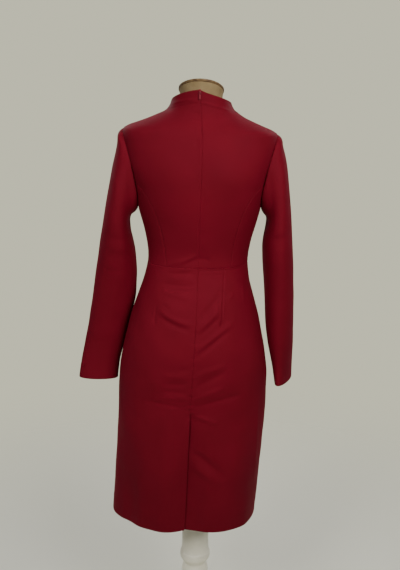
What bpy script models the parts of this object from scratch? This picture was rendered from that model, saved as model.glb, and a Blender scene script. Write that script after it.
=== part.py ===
"""Long-sleeved midi dress with a grown-on high neck, on a limbless dress form and its stand.

Metres, +Z up. The origin is on the floor, under the middle of the stand. The back of the dress,
with its centre zip and vent, faces -Y. "Left" and "right" are the wearer's: left is -X.

The dress is cut as its maker would cut it. Every cloth piece is a thin wall between two seams,
lifted off one smooth figure that the dress form shares, and the sleeves grow from the armholes.
"""
import math
from collections import namedtuple

import bmesh
import bpy
import numpy as np
from mathutils import Matrix, Vector


def table(names, *rows):
    """Rows of numbers whose columns have names."""
    row_type = namedtuple("Row", names)
    return [row_type(*row) for row in rows]


# ---------------------------------------------------------------- driving sizes
CLOTH = 0.0015              # thickness of a cloth wall
SEAM_GAP = 0.0005           # between two pieces at a seam
TOUCH_GAP = 0.0003          # between hard pieces that rest on each other
WAIST_Z = 1.050             # waist seam
HEM_Z = 0.415
UNDERARM_Z = 1.175
SHOULDER_TIP_Z = 1.350
NECK_FOOT_Z = 1.388         # where the shoulder seam turns up into the high neck
NECK_TOP_BACK_Z = 1.439
NECK_TOP_SIDE_Z = 1.413
NECK_TOP_FRONT_Z = 1.395
NECK_EDGE_BEND = {-1: 1.4, 1: 0.8}      # of each half: below 1 it falls at once beside the zip
ARMHOLE_BACK_DEPTH = 0.050  # how far the armhole reaches behind and before its middle
ARMHOLE_FRONT_DEPTH = 0.055
ARMHOLE_STEPS = 10          # intervals down one side of an armhole
SIDE_PIECE_STEPS = 4        # how many of them the side piece takes
VENT_TOP_Z = 0.704
VENT_UNDERLAP = 0.035       # how far the lower layer reaches behind the upper one
VENT_DEPTH = 0.0042         # how far the lower layer lies behind the upper one
VENT_TUCK_BREADTH = 0.015   # distance over which it sinks there, beside and above the vent
VENT_SLANT_START = 0.25     # share of the underlap's width at its top
VENT_SLANT_HEIGHT = 0.04    # and the height below which it has its whole width
SIDE_PIECE_BLUNTING = 0.12  # the side piece stops this share of a row short of its point
SHOULDER_LEAN = 0.030       # the form leans: its right shoulder is lower, metres per metre
LEAN_START_Z = 1.18
LEAN_FULL_Z = 1.34
SHARP_EDGE = math.radians(40)

# The cloth's outer face, as level sections. Each is a rounded oval: its half width and its back
# and front faces, the middle of its width, and how full its corners are (2 is an ellipse).
FIGURE = table(
    "z half_width back front centre_x fullness",
    (0.380, 0.1785, -0.1280, 0.132, -0.0320, 2.30),
    (HEM_Z, 0.1785, -0.1275, 0.131, -0.0295, 2.30),
    (0.550, 0.1785, -0.1270, 0.128, -0.0205, 2.30),
    (0.700, 0.1790, -0.1265, 0.124, -0.0120, 2.25),
    (0.774, 0.1780, -0.1260, 0.121, -0.0105, 2.20),
    (0.825, 0.1720, -0.1250, 0.119, -0.0095, 2.20),
    (0.876, 0.1620, -0.1225, 0.117, -0.0085, 2.15),
    (0.926, 0.1500, -0.1160, 0.114, -0.0075, 2.15),
    (0.972, 0.1360, -0.1060, 0.109, -0.0060, 2.15),
    (1.000, 0.1265, -0.0960, 0.104, -0.0050, 2.15),
    (1.030, 0.1200, -0.0860, 0.098, -0.0035, 2.15),
    (1.060, 0.1160, -0.0810, 0.095, -0.0020, 2.15),
    (1.088, 0.1190, -0.0830, 0.098, -0.0005, 2.15),
    (1.117, 0.1245, -0.0885, 0.104, 0.0000, 2.20),
    (1.145, 0.1320, -0.0945, 0.109, 0.0005, 2.20),
    (1.175, 0.1395, -0.1000, 0.112, 0.0005, 2.25),
    (1.200, 0.1440, -0.1035, 0.112, 0.0000, 2.30),
    (1.250, 0.1580, -0.1060, 0.106, 0.0000, 2.35),
    (1.300, 0.1700, -0.1020, 0.092, 0.0000, 2.35),
    (1.332, 0.1745, -0.0950, 0.081, 0.0000, 2.30),
    (1.344, 0.1735, -0.0910, 0.077, 0.0000, 2.25),
    (1.352, 0.1675, -0.0880, 0.073, 0.0005, 2.25),
    (1.360, 0.1480, -0.0845, 0.069, 0.0005, 2.20),
    (1.370, 0.1220, -0.0790, 0.065, 0.0010, 2.15),
    (1.380, 0.0980, -0.0730, 0.062, 0.0010, 2.10),
    (1.388, 0.0850, -0.0690, 0.060, 0.0015, 2.05),
    (1.400, 0.0735, -0.0655, 0.059, 0.0015, 2.00),
    (1.413, 0.0675, -0.0630, 0.058, 0.0015, 2.00),
    (1.445, 0.0640, -0.0600, 0.058, 0.0010, 2.00),
    (1.480, 0.0630, -0.0590, 0.058, 0.0010, 2.00),
)

# Where a general figure is fuller than its oval, as soft mounds on the sections. Turn is the
# angle from the middle of the back, to both sides.
MOUNDS = table(
    "turn_degrees z spread_degrees spread_z height",
    (145.0, 1.195, 21.0, 0.052, 0.0150),    # bust
    (34.0, 1.255, 24.0, 0.050, 0.0045),     # shoulder blades
    (30.0, 0.845, 26.0, 0.070, 0.0060),     # seat
)

# How far inside the cloth's outer face the dress form's own face lies.
FORM_GAPS = table(
    "z side_gap back_gap front_gap",
    (0.740, 0.0120, 0.0120, 0.0100),
    (0.780, 0.0070, 0.0070, 0.0060),
    (0.860, 0.0045, 0.0050, 0.0045),
    (1.000, 0.0045, 0.0055, 0.0045),
    (1.060, 0.0045, 0.0060, 0.0045),
    (1.300, 0.0055, 0.0055, 0.0050),
    (1.330, 0.0080, 0.0060, 0.0085),
    (1.346, 0.0100, 0.0060, 0.0125),
    (1.360, 0.0034, 0.0060, 0.0085),
    (1.370, 0.0022, 0.0060, 0.0060),
    (1.378, 0.0060, 0.0075, 0.0065),
    (1.388, 0.0140, 0.0100, 0.0080),
    (1.400, 0.0180, 0.0120, 0.0085),
    (1.413, 0.0170, 0.0120, 0.0085),
    (1.445, 0.0145, 0.0105, 0.0085),
    (1.480, 0.0135, 0.0095, 0.0085),
)

# Soft ridges and hollows of the hanging skirt's back, each along a straight line that fades out
# at its ends. A line that runs on past the hem is as strong as it gets there.
SKIRT_FOLDS = table(
    "x_start z_start x_end z_end half_breadth height",
    (-0.060, 0.720, -0.083, 0.250, 0.034, 0.0080),      # left lobe of the hem
    (0.035, 0.720, 0.056, 0.250, 0.034, 0.0100),        # right lobe of the hem
    (0.090, 0.690, 0.106, 0.250, 0.030, 0.0110),        # and its far side
    (-0.168, 0.660, -0.174, 0.250, 0.028, -0.0110),     # flat place at the hem's left corner
    (-0.014, 0.760, -0.022, 0.250, 0.026, -0.0100),     # hollow along the vent
    (-0.096, 0.985, -0.030, 0.930, 0.013, 0.0030),      # drag lines under the waist
    (0.056, 0.985, 0.008, 0.895, 0.013, 0.0028),
    (-0.110, 0.800, -0.040, 0.770, 0.016, 0.0025),
    (0.075, 0.800, 0.010, 0.745, 0.016, 0.0028),
)

# Seams that run down the back, as x by height.
CENTRE_BACK = table(
    "z x",
    (0.380, -0.0285), (0.466, -0.0240), (0.710, -0.0157), (0.823, -0.0095), (0.950, -0.0035),
    (1.050, -0.0012), (1.187, 0.0012), (1.317, 0.0042), (1.380, 0.0015), (1.445, -0.0023),
)
PRINCESS = table(
    "z distance_from_middle",
    (1.050, 0.0735), (1.070, 0.0750), (1.108, 0.0800), (1.140, 0.0870), (1.180, 0.1010),
    (1.206, 0.1150), (1.222, 0.1285), (1.2355, 0.1485),
)

# Rings of each sleeve from the armhole down: the outer and inner ends of the ring, its half depth
# from back to front, the middle of that depth, and how far the back edge is turned inwards.
SLEEVE_COLUMNS = "outer_x outer_z inner_x inner_z half_depth centre_y turn_degrees"
SLEEVE_LEFT = table(
    SLEEVE_COLUMNS,
    (-0.1740, 1.3540, -0.1398, 1.1765, 0.053, 0.0025, 0.0),
    (-0.1835, 1.3430, -0.1430, 1.1660, 0.056, 0.0030, 0.0),
    (-0.1905, 1.3090, -0.1490, 1.1550, 0.060, 0.0035, 0.0),
    (-0.1990, 1.2680, -0.1560, 1.1460, 0.064, 0.0040, 0.0),
    (-0.2075, 1.2270, -0.1590, 1.1350, 0.066, 0.0045, 0.0),
    (-0.2176, 1.1715, -0.1580, 1.1180, 0.066, 0.0055, 0.0),
    (-0.2278, 1.1150, -0.1520, 1.0900, 0.062, 0.0080, 0.0),
    (-0.2385, 1.0500, -0.1460, 1.0450, 0.053, 0.0120, 0.0),
    (-0.2470, 0.9980, -0.1465, 0.9980, 0.046, 0.0170, 0.0),
    (-0.2560, 0.9400, -0.1570, 0.9400, 0.040, 0.0230, 0.0),
    (-0.2675, 0.8760, -0.1730, 0.8760, 0.033, 0.0260, 0.0),
    (-0.2775, 0.8250, -0.1850, 0.8250, 0.027, 0.0230, 0.0),
    (-0.2845, 0.7900, -0.1900, 0.7900, 0.023, 0.0180, 0.0),
    (-0.2890, 0.7535, -0.1945, 0.7535, 0.020, 0.0130, 0.0),
)
SLEEVE_RIGHT = table(
    SLEEVE_COLUMNS,
    (0.1740, 1.3445, 0.1398, 1.1735, 0.053, 0.0025, 0.0),
    (0.1830, 1.3340, 0.1425, 1.1640, 0.056, 0.0030, 0.0),
    (0.1915, 1.3060, 0.1480, 1.1530, 0.060, 0.0035, 0.0),
    (0.2000, 1.2650, 0.1525, 1.1430, 0.064, 0.0040, 0.0),
    (0.2060, 1.2220, 0.1530, 1.1310, 0.066, 0.0045, 0.0),
    (0.2115, 1.1730, 0.1505, 1.1130, 0.067, 0.0050, 0.0),
    (0.2165, 1.1200, 0.1480, 1.0850, 0.066, 0.0060, 0.0),
    (0.2220, 1.0500, 0.1505, 1.0450, 0.065, 0.0080, 2.0),
    (0.2255, 1.0000, 0.1545, 1.0000, 0.063, 0.0100, 4.0),
    (0.2285, 0.9400, 0.1595, 0.9400, 0.061, 0.0130, 8.0),
    (0.2300, 0.8900, 0.1640, 0.8900, 0.058, 0.0150, 11.0),
    (0.2305, 0.8450, 0.1720, 0.8450, 0.055, 0.0170, 15.0),
    (0.2290, 0.8000, 0.1845, 0.8000, 0.052, 0.0180, 19.0),
    (0.2265, 0.7500, 0.1960, 0.7500, 0.050, 0.0180, 22.0),
)
SLEEVE_RINGS = 20
SLEEVE_RING_BUNCHING = 1.08     # rings lie a little closer together near the armhole
SLEEVE_JOINING_ROWS = 3.0   # table rows over which the armhole's shape gives way to the table's

# Grid of the skirt and of the upper pieces.
SKIRT_LEVELS = (
    1.030, 1.005, 0.980, 0.955, 0.930, 0.905, 0.880, 0.850, 0.820, 0.790, 0.760, 0.736, 0.720,
    VENT_TOP_Z, 0.684, 0.660, 0.635, 0.610, 0.580, 0.550, 0.520, 0.490, 0.465, 0.440, HEM_Z,
)
BACK_COLUMNS = 8
SIDE_COLUMNS = 3
FRONT_COLUMNS = 14
SIDE_SEAM_STEPS = 6
SHOULDER_STEPS = 6
NECK_STEPS = 4
CENTRE_AT_ARMHOLE_Z = 1.240     # height at the centre back level with the top of the side piece
CENTRE_AT_SHOULDER_Z = 1.345    # and with the shoulder tip and the foot of the neck
CENTRE_AT_NECK_Z = 1.392
FRONT_AT_UNDERARM_Z = 1.175
FRONT_AT_SHOULDER_Z = 1.325
FRONT_AT_NECK_Z = 1.366

# Zip
ZIP_END_Z = 0.945
ZIP_TAPE_WIDTH = 0.012
ZIP_TAPE_THICKNESS = 0.001
ZIP_TAPE_GAP = 0.0005
ZIP_TAPE_END_WIDTH = 0.0024     # the tapes' ends are folded away to this width
ZIP_TAPE_ABOVE_NECK = 0.0020    # and show above the top edge
SLIDER_Z = 1.4335
SLIDER_SIZE = (0.0052, 0.0020, 0.0075)      # across, off the cloth, along the zip
BAR_OFF_SLIDER = 0.0011         # axis of the tab's bar, off the slider's face
BRIDGE_WIDTH = 0.0014
BRIDGE_THICKNESS = 0.0008
BRIDGE_LENGTH = 0.0056
BRIDGE_INSIDE = 0.0022
TAB_LENGTH = 0.0150
TAB_WIDTH = 0.0040
TAB_THICKNESS = 0.0008
TAB_BAR = 0.0008
TAB_SLOT = (0.0024, 0.0036)     # across, along
TAB_ROUNDING = 0.00168          # corners of its lower end
SLIDER_ROUNDING = 0.0004
BRIDGE_ROUNDING = 0.0003

# Dress form and stand
FORM_BOTTOM_Z = 0.740
FORM_SIDES = 32
NECK_CUT_Z = 1.436              # the neck is cut off on a slant, higher at the back
NECK_CUT_SLOPE = 0.42
CAP_THICKNESS = 0.006
CAP_OVERHANG = 0.0012
FORM_LEVELS = (
    0.740, 0.752, 0.775, 0.810, 0.850, 0.900, 0.945, 0.985, 1.020, 1.055, 1.090, 1.125, 1.160,
    1.195, 1.230, 1.265, 1.300, 1.325, 1.343, 1.352, 1.360, 1.368, 1.375, 1.382, 1.390, 1.402,
)
BASE_RADIUS = 0.165
BASE_TOP_Z = 0.030
BASE_EDGE = 0.004
CAP_EDGE = 0.0015
POST_SIDES = 24
POST_PROFILE = table(
    "radius z",
    (0.0470, 0.0303), (0.0470, 0.0400), (0.0400, 0.0460), (0.0360, 0.0600), (0.0300, 0.0850),
    (0.0270, 0.1100), (0.0280, 0.1400), (0.0320, 0.1750), (0.0345, 0.2100), (0.0340, 0.2350),
    (0.0300, 0.2500), (0.0285, 0.2550), (0.0310, 0.2610), (0.0375, 0.2700), (0.0385, 0.2780),
    (0.0375, 0.2860), (0.0330, 0.2930), (0.0330, 0.5200), (0.0330, 0.7397),
)


# ---------------------------------------------------------------- small tools
def column(rows, name):
    """One named column of a table, as an array."""
    return np.array([getattr(row, name) for row in rows], dtype=float)


def smooth_curve(xs, ys, at):
    """A smooth curve through points that never overshoots them (monotone cubic)."""
    xs, ys, at = np.asarray(xs, float), np.asarray(ys, float), np.asarray(at, float)
    steps = np.diff(xs)
    slopes = np.diff(ys) / steps
    tangent = np.zeros_like(ys)
    tangent[0], tangent[-1] = slopes[0], slopes[-1]
    same_way = slopes[:-1] * slopes[1:] > 0
    before, after = steps[:-1], steps[1:]
    weight_a, weight_b = 2 * after + before, after + 2 * before
    safe_a = np.where(same_way, slopes[:-1], 1.0)
    safe_b = np.where(same_way, slopes[1:], 1.0)
    mean = (weight_a + weight_b) / (weight_a / safe_a + weight_b / safe_b)
    tangent[1:-1] = np.where(same_way, mean, 0.0)
    at = np.clip(at, xs[0], xs[-1])
    i = np.clip(np.searchsorted(xs, at, side="right") - 1, 0, len(xs) - 2)
    t = (at - xs[i]) / steps[i]
    rise = steps[i] * (tangent[i] * t * (1 - t) ** 2 - tangent[i + 1] * t * t * (1 - t))
    return ys[i] * (1 - t) ** 2 * (1 + 2 * t) + ys[i + 1] * t * t * (3 - 2 * t) + rise


def ease(value, start, end):
    """0 before start, 1 after end, and a soft step between them."""
    t = np.clip((np.asarray(value, float) - start) / (end - start), 0.0, 1.0)
    return t * t * (3 - 2 * t)


def unit(vectors):
    """The same vectors, one long."""
    return vectors / np.linalg.norm(vectors, axis=-1, keepdims=True)


# ---------------------------------------------------------------- the figure
def figure_value(name, z):
    """One size of the figure's section at height z."""
    return smooth_curve(column(FIGURE, "z"), column(FIGURE, name), z)


def form_gap(name, z):
    """How far inside the cloth the form lies at height z."""
    return smooth_curve(column(FORM_GAPS, "z"), column(FORM_GAPS, name), z)


def mound_height(turn, z):
    """How far the bust, shoulder blades and seat stand out at this place."""
    height = np.zeros(np.broadcast(turn, z).shape)
    for mound in MOUNDS:
        for side in (-1, 1):
            off = np.angle(np.exp(1j * (turn - side * math.radians(mound.turn_degrees))))
            across = off / math.radians(mound.spread_degrees)
            up = (z - mound.z) / mound.spread_z
            height = height + mound.height * np.exp(-across ** 2 - up ** 2)
    return height


def lean(x, z):
    """How much lower the leaning form holds this place."""
    return -SHOULDER_LEAN * x * ease(z, LEAN_START_Z, LEAN_FULL_Z)


def figure(turn, z):
    """A place on the figure. Turn is 0 at the middle of the back and grows towards the right."""
    turn, z = np.broadcast_arrays(np.asarray(turn, float), np.asarray(z, float))
    half_width = figure_value("half_width", z)
    depth = np.where(np.cos(turn) > 0, -figure_value("back", z), figure_value("front", z))
    n = figure_value("fullness", z)
    radius = (np.abs(np.sin(turn) / half_width) ** n + np.abs(np.cos(turn) / depth) ** n) ** (-1 / n)
    radius = radius + mound_height(turn, z)
    x = figure_value("centre_x", z) + radius * np.sin(turn)
    y = -radius * np.cos(turn)
    return np.stack([x, y, z + lean(x, z)], axis=-1)


def surface_normals(surface, u, v):
    """Normals of a surface given by two numbers, facing out where u runs right and v runs up."""
    step = 2e-4
    along_u = surface(u + step, v) - surface(u - step, v)
    along_v = surface(u, v + step) - surface(u, v - step)
    return unit(np.cross(along_u, along_v))


def form_face(turn, z):
    """A place on the dress form, which lies inside the cloth."""
    across, along = np.sin(turn) ** 2, np.cos(turn) ** 2
    depth_gap = np.where(np.cos(turn) > 0, form_gap("back_gap", z), form_gap("front_gap", z))
    gap = form_gap("side_gap", z) * across + depth_gap * along
    return figure(turn, z) - surface_normals(figure, turn, z) * gap[..., None]


def turn_at_x(x, z):
    """The turn at which the figure's back, without its mounds, has this x."""
    low, high = np.full(np.shape(x), -math.pi / 2), np.full(np.shape(x), math.pi / 2)
    for _ in range(40):
        middle = (low + high) / 2
        too_far = figure(middle, z)[..., 0] > x
        high = np.where(too_far, middle, high)
        low = np.where(too_far, low, middle)
    return (low + high) / 2


def fold_height(x, z):
    """Height of the skirt's soft ridges and hollows."""
    height = np.zeros(np.shape(x))
    for fold in SKIRT_FOLDS:
        along = np.array([fold.x_end - fold.x_start, fold.z_end - fold.z_start])
        length = np.hypot(*along)
        along = along / length
        away_x, away_z = x - fold.x_start, z - fold.z_start
        t = (away_x * along[0] + away_z * along[1]) / length
        off = away_z * along[0] - away_x * along[1]
        fade = np.clip(4 * t * (1 - t), 0.0, 1.0)
        height = height + fold.height * fade * np.exp(-(off / fold.half_breadth) ** 2)
    return height


def dress(turn, z):
    """A place on the outer face of the dress's body."""
    place = figure(turn, z)
    ridge = fold_height(place[..., 0], place[..., 2]) * ease(np.cos(turn), 0.0, 0.5)
    step = 1e-4
    across = figure(turn + step, z) - figure(turn - step, z)
    outward = unit(np.stack([across[..., 1], -across[..., 0], np.zeros_like(ridge)], axis=-1))
    return place + outward * ridge[..., None]


# ---------------------------------------------------------------- seams
def centre_back_turn(z):
    """Turn of the centre back seam at height z."""
    return turn_at_x(smooth_curve(column(CENTRE_BACK, "z"), column(CENTRE_BACK, "x"), z), z)


def princess_turn(z, side):
    """Turn of the curved back seam on one side (-1 left, 1 right)."""
    distance = smooth_curve(column(PRINCESS, "z"), column(PRINCESS, "distance_from_middle"), z)
    return turn_at_x(side * distance, z)


def armhole_turn_and_z(angle, side):
    """A place on the armhole. Angle is 0 at the shoulder tip, pi at the underarm, then front."""
    half_height = (SHOULDER_TIP_Z - UNDERARM_Z) / 2
    z = SHOULDER_TIP_Z - half_height + half_height * np.cos(angle)
    behind = np.sin(angle) > 0
    y = -np.sin(angle) * np.where(behind, ARMHOLE_BACK_DEPTH, ARMHOLE_FRONT_DEPTH)
    turn = np.full(np.shape(angle), side * math.pi / 2)
    for _ in range(30):
        radius = np.hypot(figure(turn, z)[..., 0] - figure_value("centre_x", z),
                          figure(turn, z)[..., 1])
        turn = side * (math.pi / 2 + np.arcsin(np.clip(y / radius, -1, 1)))
    return turn, z


def gap_turn(turn, z, towards, widen=1.0):
    """The same seam, moved half a seam gap along the cloth (towards: -1 left, 1 right)."""
    step = 1e-3
    speed = np.linalg.norm(figure(turn + step, z) - figure(turn - step, z), axis=-1) / (2 * step)
    return turn + towards * widen * SEAM_GAP / 2 / speed


# ---------------------------------------------------------------- meshes
def new_object(name, mesh, finish):
    """A named object with one material."""
    mesh.materials.append(finish)
    body = bpy.data.objects.new(name, mesh)
    bpy.context.scene.collection.objects.link(body)
    return body


def wall(name, outer, inner, quads, finish):
    """A closed wall between an outer and an inner face that share their grid."""
    count = len(outer)
    seen = set()
    for quad in quads:
        for start, end in zip(quad, quad[1:] + quad[:1]):
            seen.add((start, end))
    faces = [list(quad) for quad in quads]
    faces += [[corner + count for corner in reversed(quad)] for quad in quads]
    faces += [[end, start, start + count, end + count]
              for start, end in sorted(seen) if (end, start) not in seen]
    mesh = bpy.data.meshes.new(name)
    mesh.from_pydata([tuple(p) for p in np.vstack([outer, inner])], [], faces)
    mesh.validate()
    body = new_object(name, mesh, finish)
    mesh.shade_smooth()
    mesh.set_sharp_from_angle(angle=SHARP_EDGE)
    return body


def grid_quads(rows, columns):
    """Faces of a grid of points, given row by row."""
    return [[i * columns + j, i * columns + j + 1, (i + 1) * columns + j + 1, (i + 1) * columns + j]
            for i in range(rows - 1) for j in range(columns - 1)]


def cloth_panel(name, turns, heights, finish):
    """A cloth piece from a grid of turns and heights. Rows run up and columns run right."""
    outer = dress(turns, heights)
    inner = outer - surface_normals(dress, turns, heights) * CLOTH
    return wall(name, outer.reshape(-1, 3), inner.reshape(-1, 3), grid_quads(*turns.shape), finish)


def between(left, right, columns, bend=2.0):
    """Grid between a left and a right edge, each a list of (turn, z).

    Heights leave the centre line level and reach the outer edge with a slope."""
    left, right = np.asarray(left, float), np.asarray(right, float)
    t = np.linspace(0.0, 1.0, columns + 1)
    turns = left[:, :1] * (1 - t) + right[:, :1] * t
    heights = left[:, 1:] * (1 - t ** bend) + right[:, 1:] * t ** bend
    return turns, heights


# ---------------------------------------------------------------- cloth pieces
def princess_edge(side, towards):
    """Edge along the curved back seam as (turn, z), from the waist to the armhole."""
    angle = np.array([math.pi * (ARMHOLE_STEPS - SIDE_PIECE_STEPS) / ARMHOLE_STEPS])
    top_turn, top_z = armhole_turn_and_z(angle, side)
    z = np.linspace(WAIST_Z + SEAM_GAP / 2, top_z[0], SIDE_SEAM_STEPS + SIDE_PIECE_STEPS + 1)
    turn = np.append(princess_turn(z[:-1], side), top_turn)
    along = np.gradient(figure(turn, z), axis=0)
    slant = np.linalg.norm(along, axis=1) / along[:, 2]
    return np.stack([gap_turn(turn, z, towards, widen=slant), z], axis=1)


def armhole_angles(start_step, end_step):
    """Angles down an armhole, from one of its steps to another."""
    steps = np.linspace(start_step, end_step, abs(end_step - start_step) + 1)
    return steps * math.pi / ARMHOLE_STEPS


def shoulder_heights():
    return np.linspace(SHOULDER_TIP_Z, NECK_FOOT_Z, SHOULDER_STEPS + 1)[1:]


def neck_heights():
    return np.linspace(NECK_FOOT_Z, NECK_TOP_SIDE_Z, NECK_STEPS + 1)[1:]


def back_bodice_grid(side):
    """Grid of the centre back piece, from the centre seam outwards (side: -1 left, 1 right)."""
    seam = princess_edge(side, -side)
    angles = armhole_angles(ARMHOLE_STEPS - SIDE_PIECE_STEPS, 0)[1:]
    armhole = np.stack(armhole_turn_and_z(angles, side), axis=1)
    armhole[-1, 0] = gap_turn(armhole[-1, 0], armhole[-1, 1], -side)
    top_z = np.concatenate([shoulder_heights(), neck_heights()])
    top_turn = gap_turn(np.full(top_z.shape, side * math.pi / 2), top_z, -side)
    outer_edge = np.concatenate([seam, armhole, np.stack([top_turn, top_z], axis=1)])
    centre_z = np.concatenate([
        np.linspace(seam[0, 1], CENTRE_AT_ARMHOLE_Z, len(seam)),
        np.linspace(CENTRE_AT_ARMHOLE_Z, CENTRE_AT_SHOULDER_Z, len(armhole) + 1)[1:],
        np.linspace(CENTRE_AT_SHOULDER_Z, CENTRE_AT_NECK_Z, SHOULDER_STEPS + 1)[1:],
        np.linspace(CENTRE_AT_NECK_Z, NECK_TOP_BACK_Z, NECK_STEPS + 1)[1:]])
    centre = np.stack([gap_turn(centre_back_turn(centre_z), centre_z, side), centre_z], axis=1)
    turns, heights = between(centre, outer_edge, BACK_COLUMNS)
    share = np.linspace(0.0, 1.0, BACK_COLUMNS + 1) ** NECK_EDGE_BEND[side]
    neck = slice(-NECK_STEPS, None)
    heights[neck] = centre[neck, 1:] * (1 - share) + outer_edge[neck, 1:] * share
    return turns, heights


def back_bodice(side, finish):
    """Centre back piece with its half of the high neck."""
    turns, heights = back_bodice_grid(side)
    if side < 0:
        turns, heights = turns[:, ::-1], heights[:, ::-1]
    name = "back_bodice_left" if side < 0 else "back_bodice_right"
    return cloth_panel(name, turns, heights, finish)


def side_back(side, finish):
    """Side piece of the back, which ends in a point at the armhole."""
    seam = princess_edge(side, side)
    side_z = np.linspace(seam[0, 1], UNDERARM_Z, SIDE_SEAM_STEPS + 1)
    side_turn = gap_turn(np.full(side_z.shape, side * math.pi / 2), side_z, -side)
    angles = armhole_angles(ARMHOLE_STEPS, ARMHOLE_STEPS - SIDE_PIECE_STEPS)[1:]
    armhole = np.stack(armhole_turn_and_z(angles, side), axis=1)
    edge = np.concatenate([np.stack([side_turn, side_z], axis=1), armhole])
    for line in (seam, edge):
        line[-1] += (line[-2] - line[-1]) * SIDE_PIECE_BLUNTING
    turns, heights = between(seam, edge, SIDE_COLUMNS, bend=1.0)
    if side < 0:
        turns, heights = turns[:, ::-1], heights[:, ::-1]
    name = "side_back_left" if side < 0 else "side_back_right"
    return cloth_panel(name, turns, heights, finish)


def front_bodice(finish):
    """The whole front above the waist, with the front half of the high neck."""
    side_z = np.linspace(WAIST_Z + SEAM_GAP / 2, UNDERARM_Z, SIDE_SEAM_STEPS + 1)
    top_z = np.concatenate([shoulder_heights(), neck_heights()])
    centre_z = np.concatenate([
        np.linspace(side_z[0], FRONT_AT_UNDERARM_Z, len(side_z)),
        np.linspace(FRONT_AT_UNDERARM_Z, FRONT_AT_SHOULDER_Z, ARMHOLE_STEPS + 1)[1:],
        np.linspace(FRONT_AT_SHOULDER_Z, FRONT_AT_NECK_Z, SHOULDER_STEPS + 1)[1:],
        np.linspace(FRONT_AT_NECK_Z, NECK_TOP_FRONT_Z, NECK_STEPS + 1)[1:]])
    halves = []
    for side in (1, -1):
        angles = 2 * math.pi - armhole_angles(ARMHOLE_STEPS, 0)[1:]
        armhole = np.stack(armhole_turn_and_z(angles, side), axis=1)
        armhole[-1, 0] = gap_turn(armhole[-1, 0], armhole[-1, 1], side)
        side_turn = gap_turn(np.full(side_z.shape, side * math.pi / 2), side_z, side)
        top_turn = gap_turn(np.full(top_z.shape, side * math.pi / 2), top_z, side)
        edge = np.concatenate([np.stack([side_turn, side_z], axis=1), armhole,
                               np.stack([top_turn, top_z], axis=1)])
        centre = np.stack([np.full(centre_z.shape, side * math.pi), centre_z], axis=1)
        halves.append(between(centre, edge, FRONT_COLUMNS // 2))
    right, left = halves
    turns = np.concatenate([right[0][:, ::-1], left[0][:, 1:] + 2 * math.pi], axis=1)
    heights = np.concatenate([right[1][:, ::-1], left[1][:, 1:]], axis=1)
    return cloth_panel("front_bodice", turns, heights, finish)


def skirt_heights():
    """Levels of the skirt's grid, from the hem up to the waist seam."""
    return np.array([WAIST_Z - SEAM_GAP / 2, *SKIRT_LEVELS])[::-1]


def front_skirt(finish):
    z = skirt_heights()
    right = np.stack([gap_turn(np.full(z.shape, math.pi / 2), z, 1), z], axis=1)
    left = np.stack([gap_turn(np.full(z.shape, 1.5 * math.pi), z, -1), z], axis=1)
    turns, heights = between(right, left, FRONT_COLUMNS)
    return cloth_panel("front_skirt", turns, heights, finish)


def back_skirt_left(finish):
    """The half whose free edge lies on top at the vent."""
    z = skirt_heights()
    side = np.stack([gap_turn(np.full(z.shape, -math.pi / 2), z, 1), z], axis=1)
    centre = np.stack([gap_turn(centre_back_turn(z), z, -1), z], axis=1)
    turns, heights = between(side, centre, BACK_COLUMNS)
    return cloth_panel("back_skirt_left", turns, heights, finish)


def tucked_dress(turn, z):
    """The dress's face, sunk behind the upper layer along the vent."""
    place = dress(turn, z)
    normal = surface_normals(dress, turn, z)
    seam = dress(centre_back_turn(z), z)[..., 0]
    near_seam = 1 - ease(place[..., 0] - seam, SEAM_GAP, SEAM_GAP + VENT_TUCK_BREADTH)
    below_top = 1 - ease(z, VENT_TOP_Z, VENT_TOP_Z + VENT_TUCK_BREADTH)
    return place - normal * (VENT_DEPTH * near_seam * below_top)[..., None]


def back_skirt_right(finish):
    """The half that carries the vent's underlap, which starts on a slant."""
    z = skirt_heights()
    side = np.stack([gap_turn(np.full(z.shape, math.pi / 2), z, -1), z], axis=1)
    centre = np.stack([gap_turn(centre_back_turn(z), z, 1), z], axis=1)
    turns, heights = between(centre, side, BACK_COLUMNS)
    flap_rows = np.flatnonzero(z <= VENT_TOP_Z)
    slant = ease(VENT_TOP_Z - z[flap_rows], 0.0, VENT_SLANT_HEIGHT)
    width = VENT_UNDERLAP * (VENT_SLANT_START + (1 - VENT_SLANT_START) * slant)
    radius = -figure_value("back", z[flap_rows])
    flap_turns = np.stack([centre[flap_rows, 0] - width / radius,
                           centre[flap_rows, 0] - width / radius / 2], axis=1)
    flap_heights = np.repeat(z[flap_rows, None], 2, axis=1)
    rows, columns = turns.shape
    quads = grid_quads(rows, columns)
    for i in range(len(flap_rows) - 1):
        here = rows * columns + 2 * i
        above = here + 2
        quads.append([here, here + 1, above + 1, above])
        quads.append([here + 1, i * columns, (i + 1) * columns, above + 1])
    all_turns = np.concatenate([turns.ravel(), flap_turns.ravel()])
    all_heights = np.concatenate([heights.ravel(), flap_heights.ravel()])
    outer = tucked_dress(all_turns, all_heights)
    normals = surface_normals(tucked_dress, all_turns, all_heights)
    return wall("back_skirt_right", outer, outer - normals * CLOTH, quads, finish)


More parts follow.
